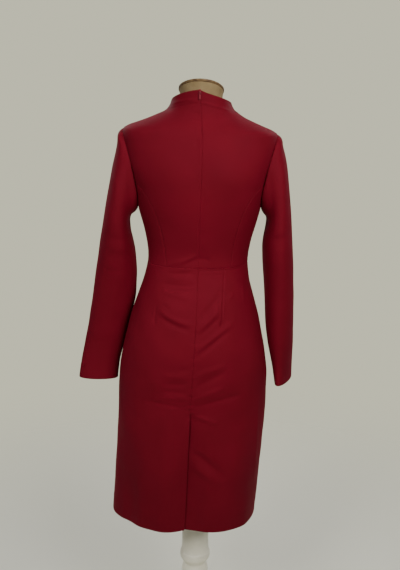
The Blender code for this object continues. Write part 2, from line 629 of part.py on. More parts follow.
def sleeve_surface(side):
    """The sleeve as a function of the angle around it and of the table's row, from the armhole."""
    rings = SLEEVE_LEFT if side < 0 else SLEEVE_RIGHT

    def value(name, row):
        return smooth_curve(np.arange(len(rings)), column(rings, name), row)

    def tube(angle, row):
        turned = np.radians(value("turn_degrees", row))
        middle_x = (value("outer_x", row) + value("inner_x", row)) / 2
        middle_z = (value("outer_z", row) + value("inner_z", row)) / 2
        half_x = (value("outer_x", row) - value("inner_x", row)) / 2
        half_z = (value("outer_z", row) - value("inner_z", row)) / 2
        outward, backward = np.cos(angle), np.sin(angle)
        depth = value("half_depth", row)
        x = middle_x + half_x * np.cos(turned) * outward - side * depth * np.sin(turned) * backward
        y = (value("centre_y", row) - np.abs(half_x) * np.sin(turned) * outward
             - depth * np.cos(turned) * backward)
        return np.stack([x, y, middle_z + half_z * outward], axis=-1)

    def surface(angle, row):
        angle, row = np.broadcast_arrays(np.asarray(angle, float), np.asarray(row, float))
        seam = dress(*armhole_turn_and_z(angle, side))
        seam[..., 0] += side * SEAM_GAP
        off_table = seam - tube(angle, np.zeros_like(row))
        return tube(angle, row) + off_table * (1 - ease(row, 0.0, SLEEVE_JOINING_ROWS))[..., None]

    return surface, len(rings) - 1


def sleeve(side, finish):
    """A long sleeve, open at the armhole and at the cuff."""
    surface, last_row = sleeve_surface(side)
    around = 2 * ARMHOLE_STEPS
    angles = np.arange(around) * math.pi / ARMHOLE_STEPS
    ring_rows = last_row * np.linspace(0.0, 1.0, SLEEVE_RINGS) ** SLEEVE_RING_BUNCHING
    angle, row = np.meshgrid(angles, ring_rows)
    outer = surface(angle, row)
    step = 2e-4
    clear_row = np.clip(row, step, last_row - step)
    around_way = surface(angle + step, clear_row) - surface(angle - step, clear_row)
    down_way = surface(angle, clear_row + step) - surface(angle, clear_row - step)
    normals = unit(np.cross(around_way, down_way)) * side
    inner = outer - normals * CLOTH
    quads = []
    for i in range(SLEEVE_RINGS - 1):
        for j in range(around):
            k = (j + 1) % around
            quad = [i * around + j, i * around + k, (i + 1) * around + k, (i + 1) * around + j]
            quads.append(quad if side > 0 else quad[::-1])
    name = "sleeve_left" if side < 0 else "sleeve_right"
    return wall(name, outer.reshape(-1, 3), inner.reshape(-1, 3), quads, finish)


def zip_tape(side, finish):
    """One tape of the concealed zip, behind the cloth along the centre back seam.

    It is made from the first two columns of the pieces it is sewn to, moved in."""
    skirt_z = skirt_heights()
    skirt_z = skirt_z[skirt_z > ZIP_END_Z]
    skirt_seam = np.stack([gap_turn(centre_back_turn(skirt_z), skirt_z, side), skirt_z], axis=1)
    skirt_side = np.stack([np.full(skirt_z.shape, side * math.pi / 2), skirt_z], axis=1)
    skirt_grid = between(skirt_seam, skirt_side, BACK_COLUMNS)
    bodice_grid = back_bodice_grid(side)
    turns = np.concatenate([skirt_grid[0][:, :2], bodice_grid[0][1:, :2]])
    heights = np.concatenate([skirt_grid[1][:, :2], bodice_grid[1][1:, :2]])
    outer = dress(turns, heights)
    normals = surface_normals(dress, turns, heights)
    peak = outer[-1] + unit(outer[-1] - outer[-2]) * ZIP_TAPE_ABOVE_NECK
    outer = np.concatenate([outer, peak[None]])
    normals = np.concatenate([normals, normals[-1:]])
    width = np.full(len(outer), ZIP_TAPE_WIDTH)
    width[-2:] = ZIP_TAPE_END_WIDTH
    share = (width / np.linalg.norm(outer[:, 1] - outer[:, 0], axis=1))[:, None]
    outer = np.stack([outer[:, 0], outer[:, 0] * (1 - share) + outer[:, 1] * share], axis=1)
    normals[:, 1] = unit(normals[:, 0] * (1 - share) + normals[:, 1] * share)
    top = outer - normals * (CLOTH + ZIP_TAPE_GAP)
    below = top - normals * ZIP_TAPE_THICKNESS
    quads = [[2 * i, 2 * i + 1, 2 * i + 3, 2 * i + 2] for i in range(len(top) - 1)]
    if side < 0:
        quads = [quad[::-1] for quad in quads]
    name = "zip_tape_left" if side < 0 else "zip_tape_right"
    return wall(name, top.reshape(-1, 3), below.reshape(-1, 3), quads, finish)


# ---------------------------------------------------------------- slider and pull tab
def slider_frame():
    """Place of the slider on the seam: X across, -Y off the cloth, Z up along the seam."""
    z = np.array([SLIDER_Z])
    turn = centre_back_turn(z)
    place = Vector(dress(turn, z)[0])
    up = dress(turn, z + 0.004)[0] - dress(turn, z - 0.004)[0]
    slope = math.atan2(up[1], up[2])
    return Matrix.Translation(place) @ Matrix.Rotation(-slope, 4, "X")


def bar_offset():
    """From the cloth's face to the axis of the tab's bar."""
    return TOUCH_GAP + SLIDER_SIZE[1] + BAR_OFF_SLIDER


def box_mesh(name, size, middle, bevel=0.0):
    """A box, with its edges rounded where a bevel is given."""
    shape = bmesh.new()
    bmesh.ops.create_cube(shape, size=1.0)
    bmesh.ops.scale(shape, vec=size, verts=shape.verts)
    if bevel:
        bmesh.ops.bevel(shape, geom=list(shape.edges), offset=bevel, segments=2, profile=0.5,
                        affect="EDGES")
    bmesh.ops.translate(shape, vec=middle, verts=shape.verts)
    mesh = bpy.data.meshes.new(name)
    shape.to_mesh(mesh)
    shape.free()
    return mesh


def cut_or_join(body, name, mesh, operation):
    """Adds a Boolean with a hidden helper object."""
    helper = bpy.data.objects.new(name, mesh)
    bpy.context.scene.collection.objects.link(helper)
    helper.matrix_world = body.matrix_world
    helper.hide_render = True
    helper.display_type = "WIRE"
    modifier = body.modifiers.new(name, "BOOLEAN")
    modifier.operation = operation
    modifier.object = helper


def zip_slider(finish):
    """The slider, with the bridge that holds the tab's bar."""
    across, off, along = SLIDER_SIZE
    mesh = box_mesh("zip_slider", SLIDER_SIZE, (0, -TOUCH_GAP - off / 2, 0), bevel=SLIDER_ROUNDING)
    body = new_object("zip_slider", mesh, finish)
    body.matrix_world = slider_frame()
    face = -TOUCH_GAP - off
    reach = BRIDGE_INSIDE + BRIDGE_THICKNESS
    root = off / 2
    bridge = box_mesh("bridge", (BRIDGE_WIDTH, reach + root, BRIDGE_LENGTH),
                      (0, face - (reach - root) / 2, 0), bevel=BRIDGE_ROUNDING)
    cut_or_join(body, "bridge", bridge, "UNION")
    opening = box_mesh("bridge_opening",
                       (across, BRIDGE_INSIDE, BRIDGE_LENGTH - 2 * BRIDGE_THICKNESS),
                       (0, face - BRIDGE_INSIDE / 2, 0))
    cut_or_join(body, "bridge_opening", opening, "DIFFERENCE")
    return body


def zip_pull_tab(finish):
    """The flat tab that hangs from the slider's bridge. Its origin is on its hinge axis."""
    middle = TAB_BAR / 2 - TAB_LENGTH / 2
    mesh = box_mesh("zip_pull_tab", (TAB_WIDTH, TAB_THICKNESS, TAB_LENGTH), (0, 0, middle))
    shape = bmesh.new()
    shape.from_mesh(mesh)
    corners = [edge for edge in shape.edges
               if abs(edge.verts[0].co.y - edge.verts[1].co.y) > TAB_THICKNESS / 2]
    lower = [edge for edge in corners if edge.verts[0].co.z < middle]
    bmesh.ops.bevel(shape, geom=lower, offset=TAB_ROUNDING, segments=4, profile=0.5,
                    affect="EDGES")
    shape.to_mesh(mesh)
    shape.free()
    body = new_object("zip_pull_tab", mesh, finish)
    body.matrix_world = slider_frame() @ Matrix.Translation((0, -bar_offset(), 0))
    slot = box_mesh("tab_slot", (TAB_SLOT[0], 4 * TAB_THICKNESS, TAB_SLOT[1]),
                    (0, 0, -TAB_BAR / 2 - TAB_SLOT[1] / 2))
    cut_or_join(body, "tab_slot", slot, "DIFFERENCE")
    return body


# ---------------------------------------------------------------- dress form and stand
def neck_cut_z(x, y):
    """Height of the slanting cut through the form's neck."""
    return NECK_CUT_Z - NECK_CUT_SLOPE * y - SHOULDER_LEAN * x


def neck_ring(turns, grow=0.0, lift=0.0):
    """A ring of the form's neck at its slanting top."""
    ring = form_face(turns, np.full(turns.shape, NECK_CUT_Z))
    middle = ring.mean(axis=0)
    out = unit((ring - middle) * (1, 1, 0))
    ring = ring + out * grow
    ring[:, 2] = neck_cut_z(ring[:, 0], ring[:, 1]) + lift
    return ring


def stacked_rings(name, rings, finish):
    """A closed solid from level rings, lowest first, with flat ends."""
    sides = len(rings[0])
    faces = [list(range(sides))[::-1]]
    for i in range(len(rings) - 1):
        for j in range(sides):
            k = (j + 1) % sides
            faces.append([i * sides + j, i * sides + k, (i + 1) * sides + k, (i + 1) * sides + j])
    last = (len(rings) - 1) * sides
    faces.append([last + j for j in range(sides)])
    mesh = bpy.data.meshes.new(name)
    mesh.from_pydata([tuple(point) for ring in rings for point in ring], [], faces)
    body = new_object(name, mesh, finish)
    mesh.shade_smooth()
    mesh.set_sharp_from_angle(angle=SHARP_EDGE)
    return body


def form_torso(finish):
    """The limbless form: hips, waist, bust, shoulders and the foot of the neck in one."""
    turns = np.arange(FORM_SIDES) * 2 * math.pi / FORM_SIDES
    rings = [form_face(turns, np.full(turns.shape, z)) for z in FORM_LEVELS]
    rings[0][:, 2] = FORM_BOTTOM_Z
    return stacked_rings("form_torso", rings + [neck_ring(turns)], finish)


def form_neck_cap(finish):
    """Thin turned cap that closes the neck on the slant."""
    turns = np.arange(FORM_SIDES) * 2 * math.pi / FORM_SIDES
    levels = ((CAP_OVERHANG - CAP_EDGE, 0.0), (CAP_OVERHANG, CAP_EDGE),
              (CAP_OVERHANG, CAP_THICKNESS - CAP_EDGE), (CAP_OVERHANG - CAP_EDGE, CAP_THICKNESS))
    rings = [neck_ring(turns, grow, TOUCH_GAP + lift) for grow, lift in levels]
    return stacked_rings("form_neck_cap", rings, finish)


def turned(name, profile, sides, finish):
    """A turned solid from (radius, z) pairs, lowest first."""
    angles = np.arange(sides) * 2 * math.pi / sides
    rings = [np.stack([radius * np.sin(angles), -radius * np.cos(angles),
                       np.full(sides, z)], axis=1) for radius, z in profile]
    return stacked_rings(name, rings, finish)


def stand(finish):
    """Turned post under the form, on a plain round base."""
    turned("stand_post", POST_PROFILE, POST_SIDES, finish)
    edge = BASE_EDGE
    base = ((BASE_RADIUS - edge, 0.0), (BASE_RADIUS, edge), (BASE_RADIUS, BASE_TOP_Z - 3 * edge),
            (BASE_RADIUS - edge, BASE_TOP_Z - edge), (BASE_RADIUS - 3 * edge, BASE_TOP_Z))
    turned("stand_base", base, 2 * POST_SIDES, finish)


# ---------------------------------------------------------------- materials
def plain_finish(name, colour, roughness, metallic=0.0):
    """A material with one colour, roughness and metallic value."""
    finish = bpy.data.materials.new(name)
    finish.use_nodes = True
    shader = finish.node_tree.nodes["Principled BSDF"]
    shader.inputs["Base Color"].default_value = (*colour, 1.0)
    shader.inputs["Roughness"].default_value = roughness
    shader.inputs["Metallic"].default_value = metallic
    finish.diffuse_color = (*colour, 1.0)
    return finish


def main():
    for old in list(bpy.data.objects):
        bpy.data.objects.remove(old, do_unlink=True)
    crepe = plain_finish("crepe", (0.180, 0.006, 0.014), 0.62)
    tape = plain_finish("zip_tape", (0.150, 0.006, 0.013), 0.75)
    enamel = plain_finish("zip_enamel", (0.250, 0.012, 0.025), 0.30)
    linen = plain_finish("linen", (0.560, 0.480, 0.370), 0.90)
    wood = plain_finish("cap_wood", (0.160, 0.080, 0.040), 0.45)
    paint = plain_finish("white_paint", (0.800, 0.790, 0.770), 0.35)
    for side in (-1, 1):
        back_bodice(side, crepe)
        side_back(side, crepe)
        sleeve(side, crepe)
        zip_tape(side, tape)
    front_bodice(crepe)
    front_skirt(crepe)
    back_skirt_left(crepe)
    back_skirt_right(crepe)
    zip_slider(enamel)
    zip_pull_tab(enamel)
    form_torso(linen)
    form_neck_cap(wood)
    stand(paint)


main()
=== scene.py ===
"""Looks of a long-sleeved midi dress with a grown-on high neck, on its dress form and stand.

Metres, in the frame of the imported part: +Z up, the back of the dress faces -Y, the wearer's
right is +X. Each cloth shell grows from its node's outer face: the node's grid of points is
found again, a smooth surface is drawn through it, and creases, seams and hems are laid on it.
"""
import math
from collections import namedtuple

import bpy
import numpy as np
from mathutils import Matrix, Vector
from mathutils.bvhtree import BVHTree


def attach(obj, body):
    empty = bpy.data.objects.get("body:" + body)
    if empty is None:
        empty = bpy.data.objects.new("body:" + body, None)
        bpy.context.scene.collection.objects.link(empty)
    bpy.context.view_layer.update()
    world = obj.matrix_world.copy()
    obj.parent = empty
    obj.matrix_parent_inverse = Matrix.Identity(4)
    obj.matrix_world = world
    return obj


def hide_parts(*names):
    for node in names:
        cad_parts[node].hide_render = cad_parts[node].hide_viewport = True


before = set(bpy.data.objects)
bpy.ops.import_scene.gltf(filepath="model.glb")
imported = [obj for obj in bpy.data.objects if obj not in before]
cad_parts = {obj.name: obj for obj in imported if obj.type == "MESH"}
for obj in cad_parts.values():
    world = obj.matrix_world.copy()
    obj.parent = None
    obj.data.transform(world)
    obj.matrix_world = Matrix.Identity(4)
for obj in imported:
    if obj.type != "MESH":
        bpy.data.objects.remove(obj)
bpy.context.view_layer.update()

BODY = "dress_on_form"


def table(names, *rows):
    """Rows of numbers whose columns have names."""
    row_type = namedtuple("Row", names)
    return [row_type(*row) for row in rows]


# ------------------------ cloth sizes
NODE_WALL = 0.0015          # thickness of the cloth nodes of the frame
SEAM_GAP = 0.0005           # between two of them at a seam
CLOTH = 0.0009              # thickness of the crepe here
TURN_UP = 0.0008            # a second layer where an edge is turned in, or beside a seam
ALLOWANCE = 0.012           # width of the layer beside a seam
VENT_FACING = 0.034         # and of the one along the vent's edge
SEAM_DIP = 0.00065          # a seam's groove
SEAM_DIP_BREADTH = 0.0013
BODICE_SEAM_GAIN = 1.7      # the stretched bodice's seams are this much deeper
DEEPEST_OVER_ZIP = 0.0013   # the cloth dips no deeper than this over the zip
ZIP_BREADTH = 0.015
LIP = 0.00022               # the cloth's lips over the zip
PUCKER = 0.00022            # small waves along a seam
LOW_SEAM_PUCKER = 2.6       # how much stronger they are between the zip and the vent
PUCKER_BREADTH = 0.007
PUCKER_LENGTH = 0.011
WAIST_Z = 1.050
VENT_TOP_Z = 0.704
ZIP_END_Z = 0.945
EDGE_DISTANCES = (0.0005, 0.0010, 0.0016, 0.0024, 0.0034, 0.0048, 0.0068)
EDGE_CLEARANCE = 0.0009     # between the last of them and the next column or row
LAYER_STEP = 0.0015         # breadth of the step where a second layer ends
LIP_PLACE = 0.0034          # the lips' crests, from the seam
LIP_BREADTH = 0.0016
VENT_ROLL_BREADTH = 0.0040
VENT_GAPE_BREADTH = 0.012
VENT_GAPE_HEIGHT = 0.03
EDGE_RIDGE = 0.00030        # where a turned-in edge ends and shows through
HEM_DIP = 0.00035           # the hem's own edge is pressed in
HEM_TROUGH = 0.00020        # above its ridge
HEM_BREADTH = 0.0022
SWELL = 0.0004              # height of the cloth's slow unevenness
SHOULDER_LIFT = 0.0022      # the shoulders stand this far off the form
SHOULDER_RISE_Z = (1.322, 1.348)
SHOULDER_FALL_Z = (1.384, 1.398)
SHOULDER_TIP_X = 0.186
SLEEVE_HEAD = 0.0030        # roll at the top of each sleeve
SLEEVE_HEAD_Z = (1.270, 1.335)
SLEEVE_HEAD_PLACE = 0.013   # its crest, from the armhole
ARMPIT_DENT = 0.0080        # the sleeves' inner walls fold in under the arm
ARMPIT_X, ARMPIT_Z = 0.153, 1.156
HIP_LEAN = 0.0032           # the left sleeve's inner wall leans this far towards the hip
HIP_LEAN_RISE_Z = (0.790, 0.840)
HIP_LEAN_FALL_Z = (0.960, 1.005)
VENT_ROLL = 0.0009          # the vent's edge rolls outwards
VENT_GAPE = 0.0024          # and gapes a little under its top
VENT_GAPE_Z = 0.668
COIL_PITCH = 0.0015
COIL_WIRE = 0.0003
COIL_DEPTH = 0.0021         # of the zip's coil, behind the cloth's outer face
COIL_HALF_WIDTH = 0.0016
COIL_HALF_THICKNESS = 0.0005
COIL_LEAN = 0.2             # of the pitch
COIL_TURN_SIDES = 10
COIL_WIRE_SIDES = 5
FORM_CLEARANCE = 0.0002     # the cloth's inner face stays at least this far off the form
FORM_BOTTOM_Z = 0.735
FORM_REACH = 0.008          # the form is looked for this far inside the cloth
LEVEL_TOLERANCE = 0.0004    # within which the lowest points of a node are one row
CORNER_TURN = 24            # degrees, from which a border turns a corner
CORNER_REACH = 3            # columns in which the corner is felt
RING_OVERLAP = 3            # columns past a ring's start that its curves run on
SLEEVE_UV_WIDTH = 0.36
SHARP_EDGE = math.radians(45)

# How each cloth piece is cut and sewn. Each border, as seen from outside, is a seam, a hem, the
# zip or the vent, and "round" is where a sleeve closes on itself. Steps are the fine intervals for
# each interval of the node's grid.
CUTS = table(
    "node low high left right turn_up across_steps up_steps held",
    ("back_bodice_left", "seam", "hem", "seam", "zip", 0.024, 7, 6, "stretched"),
    ("back_bodice_right", "seam", "hem", "zip", "seam", 0.024, 7, 6, "stretched"),
    ("side_back_left", "seam", "seam", "seam", "seam", 0.0, 5, 6, "stretched"),
    ("side_back_right", "seam", "seam", "seam", "seam", 0.0, 5, 6, "stretched"),
    ("front_bodice", "seam", "hem", "seam", "seam", 0.024, 6, 5, "stretched"),
    ("sleeve_left", "hem", "seam", "round", "round", 0.030, 6, 8, "hung"),
    ("sleeve_right", "hem", "seam", "round", "round", 0.030, 6, 8, "hung"),
    ("back_skirt_left", "hem", "seam", "seam", "vent", 0.035, 14, 8, "hung"),
    ("back_skirt_right", "hem", "seam", "vent", "seam", 0.035, 14, 8, "hung"),
    ("front_skirt", "hem", "seam", "seam", "seam", 0.035, 7, 6, "hung"),
)

# Soft ridges and troughs that show on the back. Each runs through three points.
CREASE_COLUMNS = "x_start z_start x_middle z_middle x_end z_end breadth height"
BACK_CREASES = table(
    CREASE_COLUMNS,
    # over the waist seam
    (-0.071, 1.056, -0.033, 1.066, -0.004, 1.081, 0.0055, 0.0017),
    (-0.033, 1.058, 0.003, 1.071, 0.028, 1.064, 0.0050, -0.0017),
    # left half, from the waist down to the dart's point
    (-0.071, 1.036, -0.039, 1.038, -0.008, 1.040, 0.0036, -0.0020),
    (-0.071, 1.023, -0.039, 1.026, -0.008, 1.025, 0.0050, 0.0016),
    (-0.082, 1.014, -0.041, 1.011, -0.006, 1.014, 0.0034, -0.0020),
    (-0.084, 0.998, -0.052, 0.991, -0.018, 0.984, 0.0050, 0.0016),
    (-0.075, 0.999, -0.040, 1.001, -0.008, 1.000, 0.0034, -0.0015),
    (-0.084, 0.967, -0.072, 0.963, -0.061, 0.959, 0.0045, -0.0012),
    (-0.090, 0.957, -0.055, 0.938, -0.008, 0.926, 0.0065, 0.0027),
    (-0.086, 0.943, -0.051, 0.925, -0.017, 0.915, 0.0060, -0.0022),
    # right half, drag lines that climb to the side
    (0.000, 0.935, 0.031, 0.969, 0.056, 1.002, 0.0065, -0.0020),
    (-0.002, 0.913, 0.027, 0.940, 0.049, 0.962, 0.0060, 0.0022),
    (0.001, 0.900, 0.027, 0.924, 0.050, 0.945, 0.0050, -0.0019),
    (-0.006, 0.868, 0.035, 0.897, 0.089, 0.936, 0.0075, 0.0026),
    (-0.005, 0.852, 0.035, 0.886, 0.073, 0.916, 0.0065, -0.0024),
    (0.063, 0.976, 0.073, 0.985, 0.081, 0.993, 0.0050, 0.0012),
    # left half, under the seat
    (-0.043, 0.825, -0.028, 0.825, -0.012, 0.825, 0.0050, -0.0012),
    (-0.082, 0.810, -0.050, 0.808, -0.021, 0.806, 0.0070, 0.0015),
    (-0.080, 0.790, -0.050, 0.789, -0.021, 0.790, 0.0055, -0.0014),
    (-0.084, 0.773, -0.050, 0.771, -0.020, 0.769, 0.0045, -0.0008),
    (-0.084, 0.758, -0.050, 0.756, -0.022, 0.755, 0.0065, 0.0017),
    (-0.120, 0.740, -0.071, 0.737, -0.022, 0.729, 0.0060, -0.0017),
    # right half, under the seat
    (-0.007, 0.806, 0.031, 0.823, 0.070, 0.835, 0.0070, 0.0019),
    (-0.004, 0.780, 0.032, 0.802, 0.065, 0.817, 0.0065, -0.0020),
    (-0.009, 0.750, 0.030, 0.768, 0.066, 0.780, 0.0070, 0.0019),
    (-0.006, 0.732, 0.051, 0.749, 0.109, 0.757, 0.0065, -0.0019),
    (-0.008, 0.711, 0.022, 0.703, 0.050, 0.692, 0.0060, 0.0017),
    (-0.012, 0.619, 0.028, 0.594, 0.071, 0.551, 0.0100, -0.0040),
    (-0.012, 0.586, 0.024, 0.566, 0.059, 0.536, 0.0110, 0.0032),
    # along the right side
    (0.144, 0.746, 0.143, 0.613, 0.142, 0.515, 0.0050, 0.0015),
    (0.100, 1.011, 0.103, 0.990, 0.105, 0.969, 0.0040, 0.0010),
    # dents and swellings beside the zip
    (-0.010, 1.394, -0.010, 1.384, -0.009, 1.372, 0.0060, -0.0024),
    (-0.007, 1.338, -0.007, 1.327, -0.006, 1.314, 0.0055, -0.0017),
    (0.008, 1.364, 0.008, 1.350, 0.009, 1.336, 0.0050, 0.0010),
    (0.019, 1.237, 0.019, 1.219, 0.018, 1.203, 0.0090, 0.0010),
    (0.012, 1.122, 0.012, 1.105, 0.012, 1.088, 0.0070, 0.0008),
    # the turned edge shows through round the neck
    (-0.066, 1.405, -0.040, 1.415, -0.004, 1.417, 0.0035, 0.0012),
    (0.000, 1.411, 0.038, 1.404, 0.071, 1.388, 0.0035, 0.0012),
)

# The front is hidden in the photo. These are like the back's, in other places.
FRONT_CREASES = table(
    CREASE_COLUMNS,
    (-0.100, 1.150, -0.070, 1.130, -0.035, 1.122, 0.0070, 0.0014),
    (-0.104, 1.132, -0.072, 1.112, -0.040, 1.103, 0.0060, -0.0014),
    (0.102, 1.146, 0.075, 1.124, 0.045, 1.112, 0.0070, 0.0015),
    (0.098, 1.120, 0.066, 1.098, 0.030, 1.092, 0.0060, -0.0012),
    (-0.135, 1.230, -0.112, 1.215, -0.086, 1.206, 0.0065, -0.0014),
    (0.137, 1.222, 0.118, 1.212, 0.092, 1.208, 0.0065, -0.0012),
    (-0.084, 1.069, -0.040, 1.074, 0.002, 1.070, 0.0055, 0.0014),
    (0.015, 1.064, 0.052, 1.072, 0.090, 1.066, 0.0055, 0.0012),
    (-0.086, 1.035, -0.046, 1.029, -0.006, 1.032, 0.0055, -0.0014),
    (0.022, 1.030, 0.056, 1.024, 0.092, 1.029, 0.0060, -0.0014),
    (-0.100, 0.985, -0.062, 0.968, -0.022, 0.960, 0.0070, 0.0015),
    (0.103, 0.978, 0.066, 0.962, 0.030, 0.957, 0.0075, 0.0014),
    (-0.140, 0.800, -0.090, 0.776, -0.036, 0.770, 0.0080, -0.0015),
    (0.124, 0.790, 0.084, 0.772, 0.028, 0.764, 0.0080, -0.0016),
    (-0.136, 0.762, -0.088, 0.744, -0.030, 0.740, 0.0080, 0.0014),
    (-0.070, 0.640, -0.064, 0.540, -0.074, 0.420, 0.0160, 0.0021),
    (0.022, 0.620, 0.030, 0.530, 0.026, 0.420, 0.0160, 0.0019),
    (-0.024, 0.600, -0.022, 0.520, -0.030, 0.420, 0.0140, -0.0019),
)

# Creases of the sleeves, for their backs and fronts.
SLEEVE_BACK_CREASES = table(
    CREASE_COLUMNS,
    (-0.172, 1.275, -0.172, 1.130, -0.178, 0.960, 0.0090, 0.0015),
    (-0.152, 1.275, -0.153, 1.215, -0.152, 1.150, 0.0075, -0.0017),
    (-0.210, 1.120, -0.186, 1.108, -0.160, 1.112, 0.0070, -0.0011),
    (-0.212, 1.096, -0.188, 1.084, -0.160, 1.086, 0.0070, 0.0011),
    (-0.222, 1.040, -0.196, 1.030, -0.166, 1.036, 0.0065, -0.0010),
    (-0.262, 0.860, -0.240, 0.850, -0.205, 0.858, 0.0070, -0.0007),
    (0.185, 1.310, 0.188, 1.152, 0.198, 0.975, 0.0090, 0.0014),
    (0.156, 1.262, 0.160, 1.200, 0.160, 1.140, 0.0075, -0.0015),
    (0.208, 1.130, 0.184, 1.116, 0.160, 1.120, 0.0070, -0.0011),
    (0.208, 1.100, 0.186, 1.088, 0.162, 1.094, 0.0070, 0.0010),
    (0.214, 0.985, 0.194, 0.972, 0.174, 0.978, 0.0070, -0.0008),
)
SLEEVE_FRONT_CREASES = table(
    CREASE_COLUMNS,
    (-0.206, 1.128, -0.182, 1.108, -0.160, 1.104, 0.0065, -0.0017),
    (-0.214, 1.104, -0.188, 1.086, -0.158, 1.084, 0.0065, 0.0016),
    (-0.220, 1.072, -0.192, 1.058, -0.160, 1.060, 0.0060, -0.0016),
    (-0.224, 1.046, -0.198, 1.034, -0.164, 1.040, 0.0060, 0.0013),
    (-0.158, 1.250, -0.164, 1.200, -0.160, 1.150, 0.0080, -0.0016),
    (0.206, 1.124, 0.184, 1.104, 0.160, 1.102, 0.0065, -0.0017),
    (0.210, 1.098, 0.188, 1.082, 0.160, 1.080, 0.0065, 0.0014),
    (0.212, 1.066, 0.190, 1.054, 0.162, 1.058, 0.0060, -0.0014),
    (0.156, 1.246, 0.164, 1.200, 0.162, 1.148, 0.0080, -0.0016),
)

# Darts of the back skirt, from the waist seam down to their points.
DARTS = table(
    "x_start z_start x_end z_end depth_start depth_end point_depth",
    (-0.0935, 0.9700, -0.0990, 0.9320, 0.0003, 0.0012, 0.0012),
    (0.0585, 1.0490, 0.0540, 0.9270, 0.0007, 0.0014, 0.0030),
)
DART_BREADTH = 0.0018
DART_POINT_BREADTH = 0.0045


# ------------------------ the frame's grids
def node_mesh(name):
    """A node's points, each once, and its triangles."""
    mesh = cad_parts[name].data
    mesh.calc_loop_triangles()
    points = np.array([v.co[:] for v in mesh.vertices])
    triangles = np.array([t.vertices[:] for t in mesh.loop_triangles])
    _, first, index = np.unique(np.round(points, 6), axis=0, return_index=True,
                                return_inverse=True)
    return points[first], index.ravel()[triangles]


def outer_face(points, triangles):
    """The triangles of a wall's outer face: the larger of its two sides."""
    corners = points[triangles]
    lengths = np.linalg.norm(corners - np.roll(corners, -1, axis=1), axis=2)
    is_rim = np.any(np.abs(lengths - NODE_WALL) < 0.03 * NODE_WALL, axis=1)
    faces = triangles[~is_rim]
    label = np.arange(len(points))
    settled = False
    while not settled:
        before = label.copy()
        np.minimum.at(label, faces, label[faces].min(axis=1)[:, None])
        settled = np.array_equal(before, label)
    corners = points[faces]
    area = np.linalg.norm(np.cross(corners[:, 1] - corners[:, 0], corners[:, 2] - corners[:, 0]),
                          axis=1)
    face_label = label[faces[:, 0]]
    return faces[face_label == np.argmax(np.bincount(face_label, area))]


def ring_order(row, points, place, neighbours):
    """A ring's corners in order round it, level with the ring below."""
    count = len(row)
    turns = {}
    for corner in row:
        below = [place[n] for n in neighbours[corner] if n in place]
        turns[corner] = np.angle(np.exp(2j * np.pi * np.array(below) / len(place)).sum())
    ordered = sorted(row, key=turns.get)
    base = points[sorted(place, key=place.get)]
    misfit = [np.linalg.norm(points[np.roll(ordered, -k)] - base, axis=1).sum()
              for k in range(count)]
    return list(np.roll(ordered, -int(np.argmin(misfit))))


def grid_rows(points, faces, is_ring):
    """Rows of a node's grid, from its level lowest row up."""
    neighbours = {}
    for face in faces:
        for corner in face:
            neighbours.setdefault(int(corner), set()).update(int(n) for n in face if n != corner)
    lowest = min(points[i, 2] for i in neighbours)
    row = [i for i in neighbours if points[i, 2] < lowest + LEVEL_TOLERANCE]
    if is_ring:
        middle = points[row].mean(axis=0)
        row.sort(key=lambda i: math.atan2(points[i, 1] - middle[1], points[i, 0] - middle[0]))
    else:
        row.sort(key=lambda i: points[i, 0])
    rows, seen = [row], set(row)
    while True:
        found = {n for i in rows[-1] for n in neighbours[i]} - seen
        if not found:
            return rows
        place = {corner: k for k, corner in enumerate(rows[-1])}
        if is_ring:
            row = ring_order(list(found), points, place, neighbours)
        else:
            row = sorted(found, key=lambda i: np.mean([place[n] for n in neighbours[i]
                                                       if n in place]))
        rows.append(row)
        seen |= found


def cross_normals(grid, is_ring):
    """Normals of a grid of points."""
    if is_ring:
        wrapped = np.concatenate([grid[:, -1:], grid, grid[:, :1]], axis=1)
        across = (wrapped[:, 2:] - wrapped[:, :-2]) / 2
    else:
        across = np.gradient(grid, axis=1)
    up = np.gradient(grid, axis=0)
    normals = np.cross(across, up)
    return normals / np.maximum(np.linalg.norm(normals, axis=2, keepdims=True), 1e-12)


def facing_out(grid, is_ring):
    """The same grid, with its columns in the order that makes its normals face out."""
    middle = grid.mean(axis=1, keepdims=True) if is_ring else np.array([0.0, 0.0, 0.0])
    away = (grid - middle) * (1, 1, 0)
    if (cross_normals(grid, is_ring) * away).sum() < 0:
        return grid[:, ::-1]
    return grid


# ------------------------ smooth surfaces
def ease(value, start, end):
    """0 before start, 1 after end, and a soft step between them."""
    t = np.clip((np.asarray(value, float) - start) / (end - start), 0.0, 1.0)
    return t * t * (3 - 2 * t)


def unit(vectors):
    return vectors / np.maximum(np.linalg.norm(vectors, axis=-1, keepdims=True), 1e-12)


def knots(grid):
    """Mean distance along the grid's first axis."""
    step = np.linalg.norm(np.diff(grid, axis=0), axis=2).mean(axis=1)
    return np.concatenate([[0.0], np.cumsum(step)])


def stations(knot, steps, fine_start, fine_end):
    """Places along the knots: a few in each interval, and closer ones near a sewn border."""
    places = [knot[i] + (knot[i + 1] - knot[i]) * k / steps
              for i in range(len(knot) - 1) for k in range(steps)] + [knot[-1]]
    places = np.array(places)
    edge = np.array(EDGE_DISTANCES)
    clear = edge[-1] + EDGE_CLEARANCE
    if fine_start:
        places = places[(places == knot[0]) | (places > knot[0] + clear)]
        places = np.concatenate([places, knot[0] + edge])
    if fine_end:
        places = places[(places == knot[-1]) | (places < knot[-1] - clear)]
        places = np.concatenate([places, knot[-1] - edge])
    return np.sort(places)


